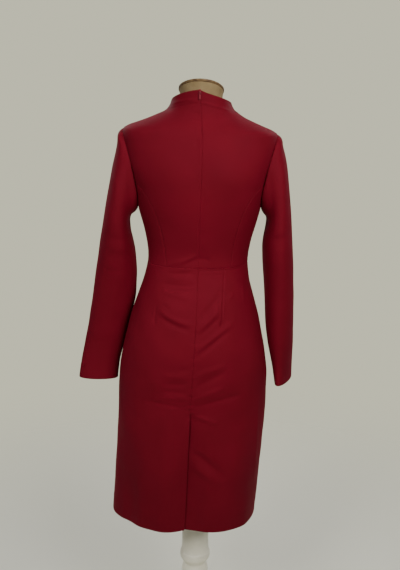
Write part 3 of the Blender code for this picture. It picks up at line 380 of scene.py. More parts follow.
def corner_weights(grid):
    """Where a side border turns a corner, and how far the corner is felt inside."""
    weights = np.zeros(grid.shape[:2])
    columns = grid.shape[1]
    for border, inwards in ((0, 1), (columns - 1, -1)):
        steps = unit(np.diff(grid[:, border], axis=0))
        turn = np.degrees(np.arccos(np.clip((steps[1:] * steps[:-1]).sum(axis=1), -1, 1)))
        for row in np.flatnonzero(turn > CORNER_TURN) + 1:
            for depth in range(min(CORNER_REACH, columns)):
                weights[row, border + inwards * depth] = (1 - depth / CORNER_REACH) ** 2
    return weights


def curve_through(grid, knot, at, weights=None):
    """Smooth curves through the grid's points, along its first axis."""
    slope = np.gradient(grid, knot, axis=0, edge_order=2)
    i = np.clip(np.searchsorted(knot, at, side="right") - 1, 0, len(knot) - 2)
    length = (knot[i + 1] - knot[i])[:, None, None]
    t = ((at - knot[i])[:, None, None]) / length
    chord = (grid[i + 1] - grid[i]) / length
    start, end = slope[i], slope[i + 1]
    if weights is not None:
        w_start, w_end = weights[i][..., None], weights[i + 1][..., None]
        start = start * (1 - w_start) + chord * w_start
        end = end * (1 - w_end) + chord * w_end
    return (grid[i] * (1 - t) ** 2 * (1 + 2 * t) + grid[i + 1] * t * t * (3 - 2 * t)
            + length * (start * t * (1 - t) ** 2 - end * t * t * (1 - t)))


def rounded(rings, steps):
    """The same rings with more columns, on smooth curves round them."""
    columns = rings.transpose(1, 0, 2)
    wrapped = np.concatenate([columns[-RING_OVERLAP:], columns, columns[:RING_OVERLAP + 1]])
    knot = knots(wrapped)
    at = stations(knot[RING_OVERLAP:-RING_OVERLAP], steps, False, False)[:-1]
    return curve_through(wrapped, knot, at).transpose(1, 0, 2)


def refined(grid, is_ring, across_steps, up_steps):
    """A fine grid on the smooth surface through a coarse one."""
    weights = None if is_ring else corner_weights(grid)
    knot = knots(grid)
    fine = curve_through(grid, knot, stations(knot, up_steps, True, True), weights)
    if is_ring:
        return rounded(fine, across_steps)
    columns = fine.transpose(1, 0, 2)
    knot = knots(columns)
    at = stations(knot, across_steps, True, True)
    return curve_through(columns, knot, at).transpose(1, 0, 2)


def refined_lap(lap, main, across_steps, up_steps):
    """A fine grid of the vent's underlap, row for row with the piece it belongs to."""
    knot = knots(main)
    at = stations(knot, up_steps, True, True)
    knot = knot[:len(lap)]
    columns = curve_through(lap, knot, at[at <= knot[-1] + 1e-9]).transpose(1, 0, 2)
    knot = knots(columns)
    at = stations(knot, across_steps, True, False)[:-1]
    return curve_through(columns, knot, at).transpose(1, 0, 2)


def border_distances(grid, is_ring):
    """Distance of every point from the low, high, left and right borders, along the cloth."""
    up = np.linalg.norm(np.diff(grid, axis=0), axis=2)
    up = np.concatenate([np.zeros((1, grid.shape[1])), np.cumsum(up, axis=0)])
    far = np.full(grid.shape[:2], 1.0)
    if is_ring:
        return {"low": up, "high": up[-1:] - up, "left": far, "right": far}
    across = np.linalg.norm(np.diff(grid, axis=1), axis=2)
    across = np.concatenate([np.zeros((grid.shape[0], 1)), np.cumsum(across, axis=1)], axis=1)
    return {"low": up, "high": up[-1:] - up, "left": across, "right": across[:, -1:] - across}


# ------------------------ relief on the cloth
def distance_to_curve(x, z, curve):
    """Distance of points from a curve, and how far along it they lie, from 0 to 1."""
    best = np.full(x.shape, 9.0)
    along = np.zeros(x.shape)
    for k in range(len(curve) - 1):
        start, step = curve[k], curve[k + 1] - curve[k]
        t = ((x - start[0]) * step[0] + (z - start[1]) * step[1]) / (step @ step)
        held = np.clip(t, 0.0, 1.0)
        off = np.hypot(x - start[0] - held * step[0], z - start[1] - held * step[1])
        nearer = off < best
        best = np.where(nearer, off, best)
        along = np.where(nearer, (k + held) / (len(curve) - 1), along)
    return best, along


def crease_curve(row, count=12):
    """The points of a crease, on a parabola through its three given points."""
    start = np.array([row.x_start, row.z_start])
    middle = np.array([row.x_middle, row.z_middle])
    end = np.array([row.x_end, row.z_end])
    pull = 2 * middle - (start + end) / 2
    t = np.linspace(0, 1, count)[:, None]
    return start * (1 - t) ** 2 + 2 * pull * t * (1 - t) + end * t * t


def creases(x, z, rows):
    """Height of a table of creases."""
    height = np.zeros(x.shape)
    for row in rows:
        reach = 4 * row.breadth
        xs = (row.x_start, row.x_middle, row.x_end)
        zs = (row.z_start, row.z_middle, row.z_end)
        near = ((x > min(xs) - reach) & (x < max(xs) + reach)
                & (z > min(zs) - reach) & (z < max(zs) + reach))
        if near.any():
            off, along = distance_to_curve(x[near], z[near], crease_curve(row))
            fade = np.clip(4 * along * (1 - along), 0, 1) ** 0.7
            height[near] += row.height * fade * np.exp(-(off / row.breadth) ** 2)
    return height


def darts(x, z):
    """The grooves of the skirt's darts, with a dimple at each point."""
    height = np.zeros(x.shape)
    for dart in DARTS:
        line = np.array([[dart.x_start, dart.z_start], [dart.x_end, dart.z_end]])
        off, along = distance_to_curve(x, z, line)
        depth = dart.depth_start * (1 - along) + dart.depth_end * along
        depth = depth * (1 - ease(along, 0.9, 1.0))
        height -= depth * bump_at(off, 0, DART_BREADTH)
        height += 0.4 * depth * bump_at(off, 2 * DART_BREADTH, DART_BREADTH)
        away = np.hypot(x - dart.x_end, (z - dart.z_end) * 0.6)
        height -= dart.point_depth * bump_at(away, 0, DART_POINT_BREADTH)
    return height


def swell(x, y, z):
    """The slow unevenness of worn cloth."""
    return SWELL * (np.sin(61 * x + 23 * z + 1.3) * np.sin(37 * z - 41 * y + 0.4)
                    + 0.5 * np.sin(97 * z + 53 * x + 2.1) * np.sin(71 * y + 29 * x + 0.7))


def pucker(along, distance):
    """Small waves that a row of sewing draws up beside it."""
    wave = (np.sin(2 * np.pi * along / PUCKER_LENGTH + 2.0 * np.sin(along * 31))
            + 0.6 * np.sin(2 * np.pi * along / (1.7 * PUCKER_LENGTH) + 1.0))
    swelling = 0.6 + 0.4 * np.sin(along * 17 + 0.8)
    return PUCKER * wave * swelling * np.exp(-distance / PUCKER_BREADTH)


def bump_at(value, middle, breadth):
    """A soft bump of height 1 about a middle."""
    return np.exp(-((value - middle) / breadth) ** 2)


def border_relief(cut, grid, distances):
    """Grooves along seams, the roll of turned edges and the shadow of what is turned in."""
    height = np.zeros(grid.shape[:2])
    z = grid[..., 2]
    for side in ("low", "high", "left", "right"):
        style = getattr(cut, side)
        distance = distances[side]
        along = z if side in ("left", "right") else grid[..., 0] - grid[..., 1]
        if style in ("seam", "zip", "vent"):
            share = ease(z, VENT_TOP_Z, VENT_TOP_Z + 0.006) if style == "vent" else 1.0
            uneven = 0.75 + 0.25 * np.sin(along * 83 + 1.7) * np.sin(along * 29)
            stretched = cut.held == "stretched" and style == "seam" and side != "low"
            depth = SEAM_DIP * (BODICE_SEAM_GAIN if stretched else 1.0)
            height -= share * depth * uneven * bump_at(distance, 0, SEAM_DIP_BREADTH)
            below_zip = 1 - ease(z, ZIP_END_Z - 0.03, ZIP_END_Z) if style == "vent" else 0.0
            gain = 1 + (LOW_SEAM_PUCKER - 1) * below_zip
            height += share * gain * pucker(along, distance)
        if style in ("zip", "vent"):
            over_zip = ease(z, ZIP_END_Z - 0.004, ZIP_END_Z + 0.004)
            height += over_zip * LIP * bump_at(distance, LIP_PLACE, LIP_BREADTH)
        if style == "vent" and side == "right":
            below = 1 - ease(z, VENT_TOP_Z - 0.004, VENT_TOP_Z)
            height += below * VENT_ROLL * bump_at(distance, 0, VENT_ROLL_BREADTH)
            height += (below * VENT_GAPE * bump_at(distance, 0, VENT_GAPE_BREADTH)
                       * bump_at(z, VENT_GAPE_Z, VENT_GAPE_HEIGHT))
            height += below * EDGE_RIDGE * bump_at(distance, VENT_FACING, 0.0025)
        if style == "hem":
            height -= HEM_DIP * bump_at(distance, 0, 0.0012)
            height += EDGE_RIDGE * bump_at(distance, cut.turn_up, HEM_BREADTH)
            height -= HEM_TROUGH * bump_at(distance, cut.turn_up + 0.004, HEM_BREADTH)
            height += 0.4 * pucker(along, np.abs(distance - cut.turn_up))
    return height


def waist_allowance(x, z):
    """The seam allowances pressed down under the waist seam show as a soft ridge."""
    strength = ease(x, -0.010, 0.012) * (1 - ease(x, 0.085, 0.110)) + 0.25
    ridges = bump_at(WAIST_Z - 0.0018 - z, 0, 0.0015) + bump_at(WAIST_Z - 0.0088 - z, 0, 0.0016)
    return 0.00080 * strength * ridges


def sleeve_relief(grid, normals, distances):
    """The roll at the sleeve's head, the fold under the arm and the lean towards the hip."""
    x, y, z = np.abs(grid[..., 0]), grid[..., 1], grid[..., 2]
    head = ease(z, *SLEEVE_HEAD_Z) * bump_at(distances["high"], SLEEVE_HEAD_PLACE, 0.010)
    fold = bump_at(x, ARMPIT_X, 0.013) * bump_at(y, 0.0, 0.032) * bump_at(z, ARMPIT_Z, 0.024)
    inner_wall = (grid[..., 0] < 0) * ease(normals[..., 0], 0.3, 0.9)
    lean = inner_wall * ease(z, *HIP_LEAN_RISE_Z) * (1 - ease(z, *HIP_LEAN_FALL_Z))
    return SLEEVE_HEAD * head - ARMPIT_DENT * fold + HIP_LEAN * lean


def shoulder_relief(grid):
    """The shoulders of the bodice stand a little off the form."""
    x, z = np.abs(grid[..., 0]), grid[..., 2]
    on_shoulder = ease(z, *SHOULDER_RISE_Z) * (1 - ease(z, *SHOULDER_FALL_Z)) * ease(x, 0.055, 0.085)
    return SHOULDER_LIFT * on_shoulder * ease(SHOULDER_TIP_X - x, 0.004, 0.016)


def relief(cut, grid, is_ring):
    """Everything that lies on one piece's smooth surface, as a height along its normals."""
    x, y, z = grid[..., 0], grid[..., 1], grid[..., 2]
    normals = cross_normals(grid, is_ring)
    distances = border_distances(grid, is_ring)
    behind = ease(-normals[..., 1], -0.1, 0.35)
    before = ease(normals[..., 1], -0.1, 0.35)
    back_rows = SLEEVE_BACK_CREASES if is_ring else BACK_CREASES
    front_rows = SLEEVE_FRONT_CREASES if is_ring else FRONT_CREASES
    height = creases(x, z, back_rows) * behind + creases(x, z, front_rows) * before
    height = height + swell(x, y, z) + border_relief(cut, grid, distances)
    if is_ring:
        height = height + sleeve_relief(grid, normals, distances)
    elif "skirt" in cut.node:
        height = height + waist_allowance(x, z)
    else:
        height = height + shoulder_relief(grid)
    if cut.node.startswith("back_skirt"):
        height = height + darts(x, z)
    for side in ("left", "right"):
        if getattr(cut, side) in ("zip", "vent"):
            beside = 1 - ease(distances[side], ZIP_BREADTH, 2 * ZIP_BREADTH)
            height = np.where(z > ZIP_END_Z, height + beside * np.maximum(
                -DEEPEST_OVER_ZIP - height, 0), height)
    return height


# ------------------------ meshes
def add_mesh(name, points, faces, finish, body=BODY):
    """A smooth mesh piece that rides on a body."""
    mesh = bpy.data.meshes.new(name)
    mesh.from_pydata([tuple(p) for p in points], [], [tuple(f) for f in faces])
    mesh.materials.append(finish)
    mesh.shade_smooth()
    piece = bpy.data.objects.new(name, mesh)
    bpy.context.scene.collection.objects.link(piece)
    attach(piece, body)
    return piece


def grid_faces(rows, columns, is_ring, first=0):
    """Faces of a grid whose points are given row by row."""
    faces = []
    for i in range(rows - 1):
        for j in range(columns if is_ring else columns - 1):
            k = (j + 1) % columns
            faces.append([first + i * columns + j, first + i * columns + k,
                          first + (i + 1) * columns + k, first + (i + 1) * columns + j])
    return faces


def border_loops(faces):
    """Each border edge of a set of faces, in the direction of its face."""
    edges = {(face[k], face[(k + 1) % len(face)]) for face in faces for k in range(len(face))}
    return [edge for edge in edges if (edge[1], edge[0]) not in edges]


def shell(name, outer, normals, thickness, faces, finish, uv):
    """A closed sheet between an outer face and its offset, with a rounded rim."""
    count = len(outer)
    inner = outer - normals * thickness[:, None]
    rim_edges = sorted(border_loops(faces))
    rim = sorted({corner for edge in rim_edges for corner in edge})
    rim_place = {corner: 2 * count + k for k, corner in enumerate(rim)}
    outwards = np.zeros((count, 3))
    for start, end in rim_edges:
        along = outer[end] - outer[start]
        away = np.cross(along, normals[start])
        outwards[start] += away
        outwards[end] += away
    outwards = unit(outwards[rim])
    bulge = outwards * (0.42 * thickness[rim])[:, None]
    middle = (outer[rim] + inner[rim]) / 2 + bulge
    points = np.concatenate([outer, inner, middle])
    all_faces = [list(f) for f in faces]
    all_faces += [[corner + count for corner in reversed(f)] for f in faces]
    for start, end in rim_edges:
        a, b = rim_place[start], rim_place[end]
        all_faces.append([end, start, a, b])
        all_faces.append([b, a, start + count, end + count])
    piece = add_mesh(name, points, all_faces, finish)
    layer = piece.data.uv_layers.new(name="cloth")
    uv_all = np.concatenate([uv, uv, uv[rim]])
    corner_of_loop = np.empty(len(piece.data.loops), dtype=int)
    piece.data.loops.foreach_get("vertex_index", corner_of_loop)
    layer.data.foreach_set("uv", uv_all[corner_of_loop].ravel())
    return piece


def flat_uv(grid, is_ring):
    """Where each point lies in the flat cloth, in metres."""
    distances = border_distances(grid, is_ring)
    up = distances["low"].mean(axis=1, keepdims=True) + 0 * grid[..., 0]
    if is_ring:
        around = np.linspace(0, 1, grid.shape[1], endpoint=False)[None]
        return np.stack([around * SLEEVE_UV_WIDTH + 0 * up, up], axis=-1)
    across = distances["left"] - distances["left"].mean(axis=1, keepdims=True)
    return np.stack([across, up], axis=-1)


def flat_size(grid, is_ring):
    """Width, length and area of the flat piece."""
    closed = np.concatenate([grid, grid[:, :1]], axis=1) if is_ring else grid
    width = np.linalg.norm(np.diff(closed, axis=1), axis=2).sum(axis=1).max()
    length = np.linalg.norm(np.diff(closed, axis=0), axis=2).sum(axis=0).max()
    a, b = closed[1:, 1:] - closed[:-1, :-1], closed[1:, :-1] - closed[:-1, 1:]
    area = np.linalg.norm(np.cross(a, b), axis=2).sum() / 2
    return float(width), float(length), float(min(area, width * length))


def node_grids(name):
    """A cloth node's outer grid, and the underlap's grid where it has one."""
    points, triangles = node_mesh(name)
    is_ring = name.startswith("sleeve")
    rows = grid_rows(points, outer_face(points, triangles), is_ring)
    width = len(rows[-1])
    main = facing_out(points[np.array([row[-width:] for row in rows])], is_ring)
    lap_rows = [row[:len(row) - width + 1] for row in rows if len(row) > width]
    lap = points[np.array(lap_rows)] if lap_rows else None
    return main, lap, is_ring


def close_seams(cut, grid):
    """Moves the sewn borders half the node's seam gap outwards, so that the pieces meet."""
    grid = grid.copy()
    if cut.left in ("seam", "zip"):
        grid[:, 0] += unit(grid[:, 0] - grid[:, 1]) * SEAM_GAP / 2
    if cut.right in ("seam", "zip"):
        grid[:, -1] += unit(grid[:, -1] - grid[:, -2]) * SEAM_GAP / 2
    if cut.low == "seam":
        grid[0] += unit(grid[0] - grid[1]) * SEAM_GAP / 2
    if cut.high == "seam":
        grid[-1] += unit(grid[-1] - grid[-2]) * SEAM_GAP / 2
    return grid


def layers(cut, grid, is_ring):
    """Thickness of the cloth, with its second layer beside seams and along turned-in edges."""
    distances = border_distances(grid, is_ring)
    second = np.zeros(grid.shape[:2])
    for side in ("low", "high", "left", "right"):
        style = getattr(cut, side)
        if style == "round":
            continue
        width = np.full(grid.shape[:2], cut.turn_up if style == "hem" else ALLOWANCE)
        if style == "vent":
            width = np.where(grid[..., 2] < VENT_TOP_Z, VENT_FACING, ALLOWANCE)
        second = np.maximum(second, 1 - ease(distances[side], width, width + LAYER_STEP))
    return CLOTH + TURN_UP * second


def kept_off_form(points, thickness, form_tree):
    """Moves points outwards where the cloth's inner face would come too near the form."""
    points = points.copy()
    for i in np.flatnonzero(points[:, 2] > FORM_BOTTOM_Z):
        place, out, _, _ = form_tree.find_nearest(Vector(points[i]), FORM_REACH)
        if place is not None:
            gap = (Vector(points[i]) - place) @ out
            short = thickness[i] + FORM_CLEARANCE - gap
            if short > 0:
                points[i] += np.array(out) * short
    return points


def with_lap(cut, coarse, lap, base, steps):
    """The fine grid and the underlap's, whose last column lies beside the grid's first."""
    fine = refined_lap(lap, coarse, *steps)
    joined = np.concatenate([fine, base[:len(fine)]], axis=1)
    lift = relief(cut, joined, False)
    normals = cross_normals(joined, False)
    columns = fine.shape[1]
    uv = flat_uv(joined, False)
    uv = uv[:, :columns] - uv[:, columns:columns + 1] + flat_uv(base, False)[:len(fine), :1]
    lap_grid = (joined + normals * lift[..., None])[:, :columns]
    return lap_grid, normals[:, :columns], uv, layers(cut, joined, False)[:, :columns]


def lap_faces(rows, columns, main_columns, first):
    """Faces of an underlap whose points follow the main grid's, and of its join to that grid."""
    faces = grid_faces(rows, columns, False, first)
    for i in range(rows - 1):
        here = first + i * columns + columns - 1
        faces.append([here, i * main_columns, (i + 1) * main_columns, here + columns])
    return faces


def cloth_piece(cut, finish, form_tree):
    """One sewn piece: its smooth surface, its relief and its thickness."""
    coarse, lap, is_ring = node_grids(cut.node)
    steps = (cut.across_steps, cut.up_steps)
    base = close_seams(cut, refined(coarse, is_ring, *steps))
    normals = cross_normals(base, is_ring)
    grid = base + normals * relief(cut, base, is_ring)[..., None]
    rows, columns = grid.shape[:2]
    faces = grid_faces(rows, columns, is_ring)
    points = grid.reshape(-1, 3)
    normals = cross_normals(grid, is_ring).reshape(-1, 3)
    uv = flat_uv(base, is_ring).reshape(-1, 2)
    thickness = layers(cut, base, is_ring).ravel()
    width, length, area = flat_size(base, is_ring)
    if lap is not None:
        lap_grid, lap_normals, lap_uv, lap_layers = with_lap(cut, coarse, lap, base, steps)
        faces += lap_faces(*lap_grid.shape[:2], columns, len(points))
        points = np.concatenate([points, lap_grid.reshape(-1, 3)])
        normals = np.concatenate([normals, lap_normals.reshape(-1, 3)])
        uv = np.concatenate([uv, lap_uv.reshape(-1, 2)])
        thickness = np.concatenate([thickness, lap_layers.ravel()])
        lap_width, _, lap_area = flat_size(lap_grid, False)
        width, area = width + lap_width, area + lap_area
    points = kept_off_form(points, thickness, form_tree)
    piece = shell(cut.node + "_cloth", points, normals, thickness, faces, finish, uv)
    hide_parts(cut.node)
    return grid


# ------------------------ zip
def centre_line(left, right, lowest_z):
    """Middle of the centre back seam between two fine grids, and the way out of the cloth."""
    left_normals = cross_normals(left, False)[:, -4]
    right_normals = cross_normals(right, False)[:, 3]
    count = min(len(left), len(right))
    line = (left[:count, -1] + right[:count, 0]) / 2
    outwards = unit(left_normals[:count] + right_normals[:count])
    above = line[:, 2] > lowest_z
    return line[above], outwards[above]


def zip_coil(surfaces, finish):
    """The closed coil of the zip, behind the seam: one small loop for each pair of teeth."""
    skirt = centre_line(surfaces["back_skirt_left"], surfaces["back_skirt_right"], ZIP_END_Z)
    bodice = centre_line(surfaces["back_bodice_left"], surfaces["back_bodice_right"], WAIST_Z)
    line = np.concatenate([skirt[0], bodice[0]])
    outwards = np.concatenate([skirt[1], bodice[1]])
    length = np.concatenate([[0], np.cumsum(np.linalg.norm(np.diff(line, axis=0), axis=1))])
    at = np.arange(COIL_PITCH, length[-1] - COIL_PITCH, COIL_PITCH)
    middle = np.stack([np.interp(at, length, line[:, k]) for k in range(3)], axis=1)
    out = unit(np.stack([np.interp(at, length, outwards[:, k]) for k in range(3)], axis=1))
    up = unit(np.gradient(middle, axis=0))
    across = np.cross(up, out)
    turns = np.linspace(0, 2 * math.pi, COIL_TURN_SIDES, endpoint=False)
    round_wire = np.linspace(0, 2 * math.pi, COIL_WIRE_SIDES, endpoint=False)
    points, faces = [], []
    for i in range(len(at)):
        centre = middle[i] - out[i] * COIL_DEPTH
        first = len(points)
        for turn in turns:
            spread = (math.cos(turn) * across[i] * COIL_HALF_WIDTH
                      + math.sin(turn) * out[i] * COIL_HALF_THICKNESS)
            lean = math.sin(turn) * up[i] * COIL_PITCH * COIL_LEAN
            away = unit(spread)
            for angle in round_wire:
                points.append(centre + spread + lean + COIL_WIRE * (math.cos(angle) * away
                                                                    + math.sin(angle) * up[i]))
        count = len(round_wire)
        for k in range(len(turns)):
            here, after = first + k * count, first + (k + 1) % len(turns) * count
            for j in range(count):
                m = (j + 1) % count
                faces.append([here + j, here + m, after + m, after + j])
    coil = add_mesh("zip_coil", points, faces, finish)


# ------------------------ materials
def add_node(finish, kind, **settings):
    """A node with its settings, and its unlinked inputs by name."""
    node = finish.node_tree.nodes.new(kind)
    for key, value in settings.items():
        if key in node.inputs:
            node.inputs[key].default_value = value
        else:
            setattr(node, key, value)
    return node


def link(finish, source, target):
    finish.node_tree.links.new(source, target)


def new_finish(name, colour, roughness, metallic=0.0, **inputs):
    """A node material and its shader. Other inputs are written with _ for a space."""
    finish = bpy.data.materials.new(name)
    finish.use_nodes = True
    shader = finish.node_tree.nodes["Principled BSDF"]
    inputs.update(Base_Color=(*colour, 1.0), Roughness=roughness, Metallic=metallic)
    for key, value in inputs.items():
        shader.inputs[key.replace("_", " ")].default_value = value
    return finish, shader


def texture(finish, kind, coordinates="Object", **settings):
    """The value of a texture that is laid out by the piece's own coordinates."""
    node = add_node(finish, "ShaderNodeTex" + kind, **settings)
    place = add_node(finish, "ShaderNodeTexCoord")
    link(finish, place.outputs[coordinates], node.inputs["Vector"])
    return node.outputs["Fac"]


def coloured_by(finish, shader, source, *stops):
    """The base colour by a value, through stops of a place and a colour."""
    ramp = add_node(finish, "ShaderNodeValToRGB")
    elements = ramp.color_ramp.elements
    for index, (place, colour) in ((0, stops[0]), (1, stops[-1])):
        elements[index].position = place
        elements[index].color = (*colour, 1.0)
    for place, colour in stops[1:-1]:
        elements.new(place).color = (*colour, 1.0)
    link(finish, source, ramp.inputs["Fac"])
    link(finish, ramp.outputs["Color"], shader.inputs["Base Color"])


def bump(finish, shader, height, distance, strength=1.0, under=None):
    """Fine relief in the shading, on top of another one where that is given."""
    node = add_node(finish, "ShaderNodeBump", Distance=distance, Strength=strength)
    link(finish, height, node.inputs["Height"])
    if under is not None:
        link(finish, under, node.inputs["Normal"])
    link(finish, node.outputs["Normal"], shader.inputs["Normal"])
    return node.outputs["Normal"]


CREPE_DARK = (0.122, 0.0033, 0.0104)
CREPE_LIGHT = (0.143, 0.0040, 0.0126)


def crepe_finish():
    """Smooth stretch crepe: a fine pebbled twill with a soft low sheen."""
    finish, shader = new_finish("crepe_cloth", CREPE_LIGHT, 0.66, Sheen_Weight=0.09,
                                Sheen_Roughness=0.45, Sheen_Tint=(0.60, 0.03, 0.09, 1.0),
                                Specular_IOR_Level=0.05)
    patches = texture(finish, "Noise", Scale=9.0, Detail=3.0, Roughness=0.55)
    coloured_by(finish, shader, patches, (0.30, CREPE_DARK), (0.70, CREPE_LIGHT))
    gloss = add_node(finish, "ShaderNodeMapRange", **{"To Min": 0.60, "To Max": 0.72})
    link(finish, patches, gloss.inputs["Value"])
    link(finish, gloss.outputs["Result"], shader.inputs["Roughness"])
    grain = texture(finish, "Noise", Scale=1500.0, Detail=2.0, Roughness=0.6)
    grain_normal = bump(finish, shader, grain, 0.00016, 0.7)
    twill = texture(finish, "Wave", "UV", Scale=560.0, Distortion=1.5, Detail=1.0,
                    bands_direction="DIAGONAL")
    bump(finish, shader, twill, 0.00010, 0.6, grain_normal)
    return finish


def tape_finish():
    """Woven zip tape."""
    finish, shader = new_finish("zip_tape_cloth", (0.22, 0.012, 0.024), 0.70)
    ribs = texture(finish, "Wave", Scale=420.0, Distortion=0.3, bands_direction="Z")
    coloured_by(finish, shader, ribs, (0.0, (0.17, 0.008, 0.016)), (1.0, (0.30, 0.025, 0.042)))
    bump(finish, shader, ribs, 0.00012, 0.8)
    return finish


def enamel_finish():
    """Glossy red enamel of the slider and its tab, a little uneven."""
    finish, shader = new_finish("zip_enamel_gloss", (0.36, 0.030, 0.055), 0.22, 0.15,
                                Coat_Weight=0.6, Coat_Roughness=0.12)
    rub = texture(finish, "Noise", Scale=420.0, Detail=3.0)
    coloured_by(finish, shader, rub, (0.35, (0.19, 0.010, 0.020)), (0.75, (0.26, 0.022, 0.034)))
    bump(finish, shader, rub, 0.00004, 0.5)
    return finish


def linen_finish():
    """Plain woven linen cover with slubs."""
    finish, shader = new_finish("linen_cover", (0.50, 0.43, 0.30), 0.92, Specular_IOR_Level=0.15)
    weave = add_node(finish, "ShaderNodeMath", operation="ADD")
    for index, direction in enumerate("XZ"):
        threads = texture(finish, "Wave", Scale=330.0, Distortion=1.2, Detail=1.0,
                          bands_direction=direction)
        link(finish, threads, weave.inputs[index])
    slubs = texture(finish, "Noise", Scale=55.0, Detail=4.0)
    coloured_by(finish, shader, slubs, (0.25, (0.225, 0.155, 0.072)), (0.75, (0.29, 0.21, 0.105)))
    slub_normal = bump(finish, shader, slubs, 0.0006, 0.5)
    bump(finish, shader, weave.outputs["Value"], 0.00015, 0.6, slub_normal)
    return finish


def cap_finish():
    """Varnished brown wood with rings."""
    finish, shader = new_finish("cap_varnish", (0.20, 0.10, 0.045), 0.42,
                                Coat_Weight=0.3, Coat_Roughness=0.25)
    rings = texture(finish, "Wave", Scale=30.0, Distortion=5.0, Detail=3.0, bands_direction="Y")
    coloured_by(finish, shader, rings, (0.0, (0.15, 0.085, 0.030)), (0.6, (0.22, 0.135, 0.055)),
                (1.0, (0.11, 0.055, 0.022)))
    bump(finish, shader, rings, 0.0002, 0.4)
    return finish


def paint_finish():
    """White satin paint on turned wood, with brush marks that vary its tone at random, and fine
    turning lines.
    """
    finish, shader = new_finish("white_satin_paint", (0.74, 0.73, 0.68), 0.40)
    marks = texture(finish, "Noise", Scale=38.0, Detail=4.0, Roughness=0.6)
    coloured_by(finish, shader, marks, (0.25, (0.82, 0.78, 0.61)), (0.70, (0.92, 0.88, 0.71)))
    turned_lines = texture(finish, "Wave", Scale=90.0, Distortion=2.0, Detail=2.0,
                           bands_direction="Z")
    bump(finish, shader, turned_lines, 0.0002, 0.3)
    return finish


# ------------------------ form and stand
TURNED_SIDES = 96
FINER_RINGS = 3             # fine intervals for each one of a ring of the form or its cap
CAP_RINGS = 4               # of the neck cap's node, from its underside up
CORNER_CUT = 0.2            # of each side of a profile's corner
HUB = 0.02                  # radius, as a share, at which a turned piece's flat ends close


def closed_rings(node, name, grid, finish):
    """A closed piece through rings of points, in a node's place. Gives its points and faces."""
    rows, columns = grid.shape[:2]
    points = grid.reshape(-1, 3)
    faces = grid_faces(rows, columns, True)
    faces.append(list(range(columns))[::-1])
    faces.append([(rows - 1) * columns + j for j in range(columns)])
    piece = add_mesh(name, points, faces, finish)
    piece.data.set_sharp_from_angle(angle=SHARP_EDGE)
    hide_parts(node)
    return points, faces


def form_torso(linen):
    """The linen-covered form, smoother than its node, and a search tree of its face."""
    points, triangles = node_mesh("form_torso")
    grid = facing_out(points[np.array(grid_rows(points, triangles, True))], True)
    fine = refined(grid, True, FINER_RINGS, FINER_RINGS)
    points, faces = closed_rings("form_torso", "form_torso_cover", fine, linen)
    return BVHTree.FromPolygons([Vector(p) for p in points], faces)


def form_neck_cap(varnish):
    """The cap on the slant of the neck, rounder than its node."""
    points, _ = node_mesh("form_neck_cap")
    middle = points.mean(axis=0)
    upright = np.linalg.svd(points - middle)[2][2]
    upright = upright * np.sign(upright[2])
    across = unit(np.cross((0.0, 1.0, 0.0), upright))
    along = np.cross(upright, across)
    turns = np.arctan2((points - middle) @ along, (points - middle) @ across)
    levels = np.argsort((points - middle) @ upright).reshape(CAP_RINGS, -1)
    rings = np.array([points[level[np.argsort(turns[level])]] for level in levels])
    closed_rings("form_neck_cap", "form_neck_cap_turned", rounded(rings, FINER_RINGS), varnish)


def rounded_profile(profile):
    """A profile with each of its inner corners cut twice."""
    for _ in range(2):
        inner = [profile[0]]
        for start, end in zip(profile[:-1], profile[1:]):
            inner += [start * (1 - CORNER_CUT) + end * CORNER_CUT,
                      start * CORNER_CUT + end * (1 - CORNER_CUT)]
        profile = inner + [profile[-1]]
    return np.array(profile)


def turned_piece(node, finish):
    """A finer turned piece from the profile of its node."""
    points, _ = node_mesh(node)
    heights = np.unique(np.round(points[:, 2], 5))
    radii = [np.hypot(*points[np.abs(points[:, 2] - z) < 2e-5][:, :2].T).max() for z in heights]
    profile = rounded_profile(np.stack([radii, heights], axis=1))
    profile = np.concatenate([profile[:1] * (HUB, 1), profile, profile[-1:] * (HUB, 1)])
    angles = np.arange(TURNED_SIDES) * 2 * math.pi / TURNED_SIDES
    grid = np.array([[(radius * math.cos(a), radius * math.sin(a), z) for a in angles]
                     for radius, z in profile])
    closed_rings(node, node + "_turned", grid, finish)


# ------------------------ stage, lights, camera
CAMERA_PLACE = (0.0027, -1.80, 1.45)
CAMERA_PITCH = math.radians(14.3)
CAMERA_ROLL = math.radians(0.75)
FOCAL_PIXELS = 786.0
PICTURE_SIZE = (400, 570)
SENSOR_HEIGHT = 24.0
PICTURE_MIDDLE = (199.5, 285.0)


def camera():
    """The photo's view: from behind, a little above the neck, looking down."""
    data = bpy.data.cameras.new("camera")
    data.sensor_fit = "VERTICAL"
    data.sensor_height = SENSOR_HEIGHT
    data.lens = FOCAL_PIXELS * SENSOR_HEIGHT / PICTURE_SIZE[1]
    data.shift_x = (PICTURE_SIZE[0] / 2 - PICTURE_MIDDLE[0]) / PICTURE_SIZE[1]
    data.clip_start = 0.05
    eye = bpy.data.objects.new("camera", data)
    bpy.context.scene.collection.objects.link(eye)
    level = Matrix.Rotation(math.pi / 2 - CAMERA_PITCH, 4, "X")
    eye.matrix_world = (Matrix.Translation(CAMERA_PLACE) @ level
                        @ Matrix.Rotation(CAMERA_ROLL, 4, "Z"))
    bpy.context.scene.camera = eye


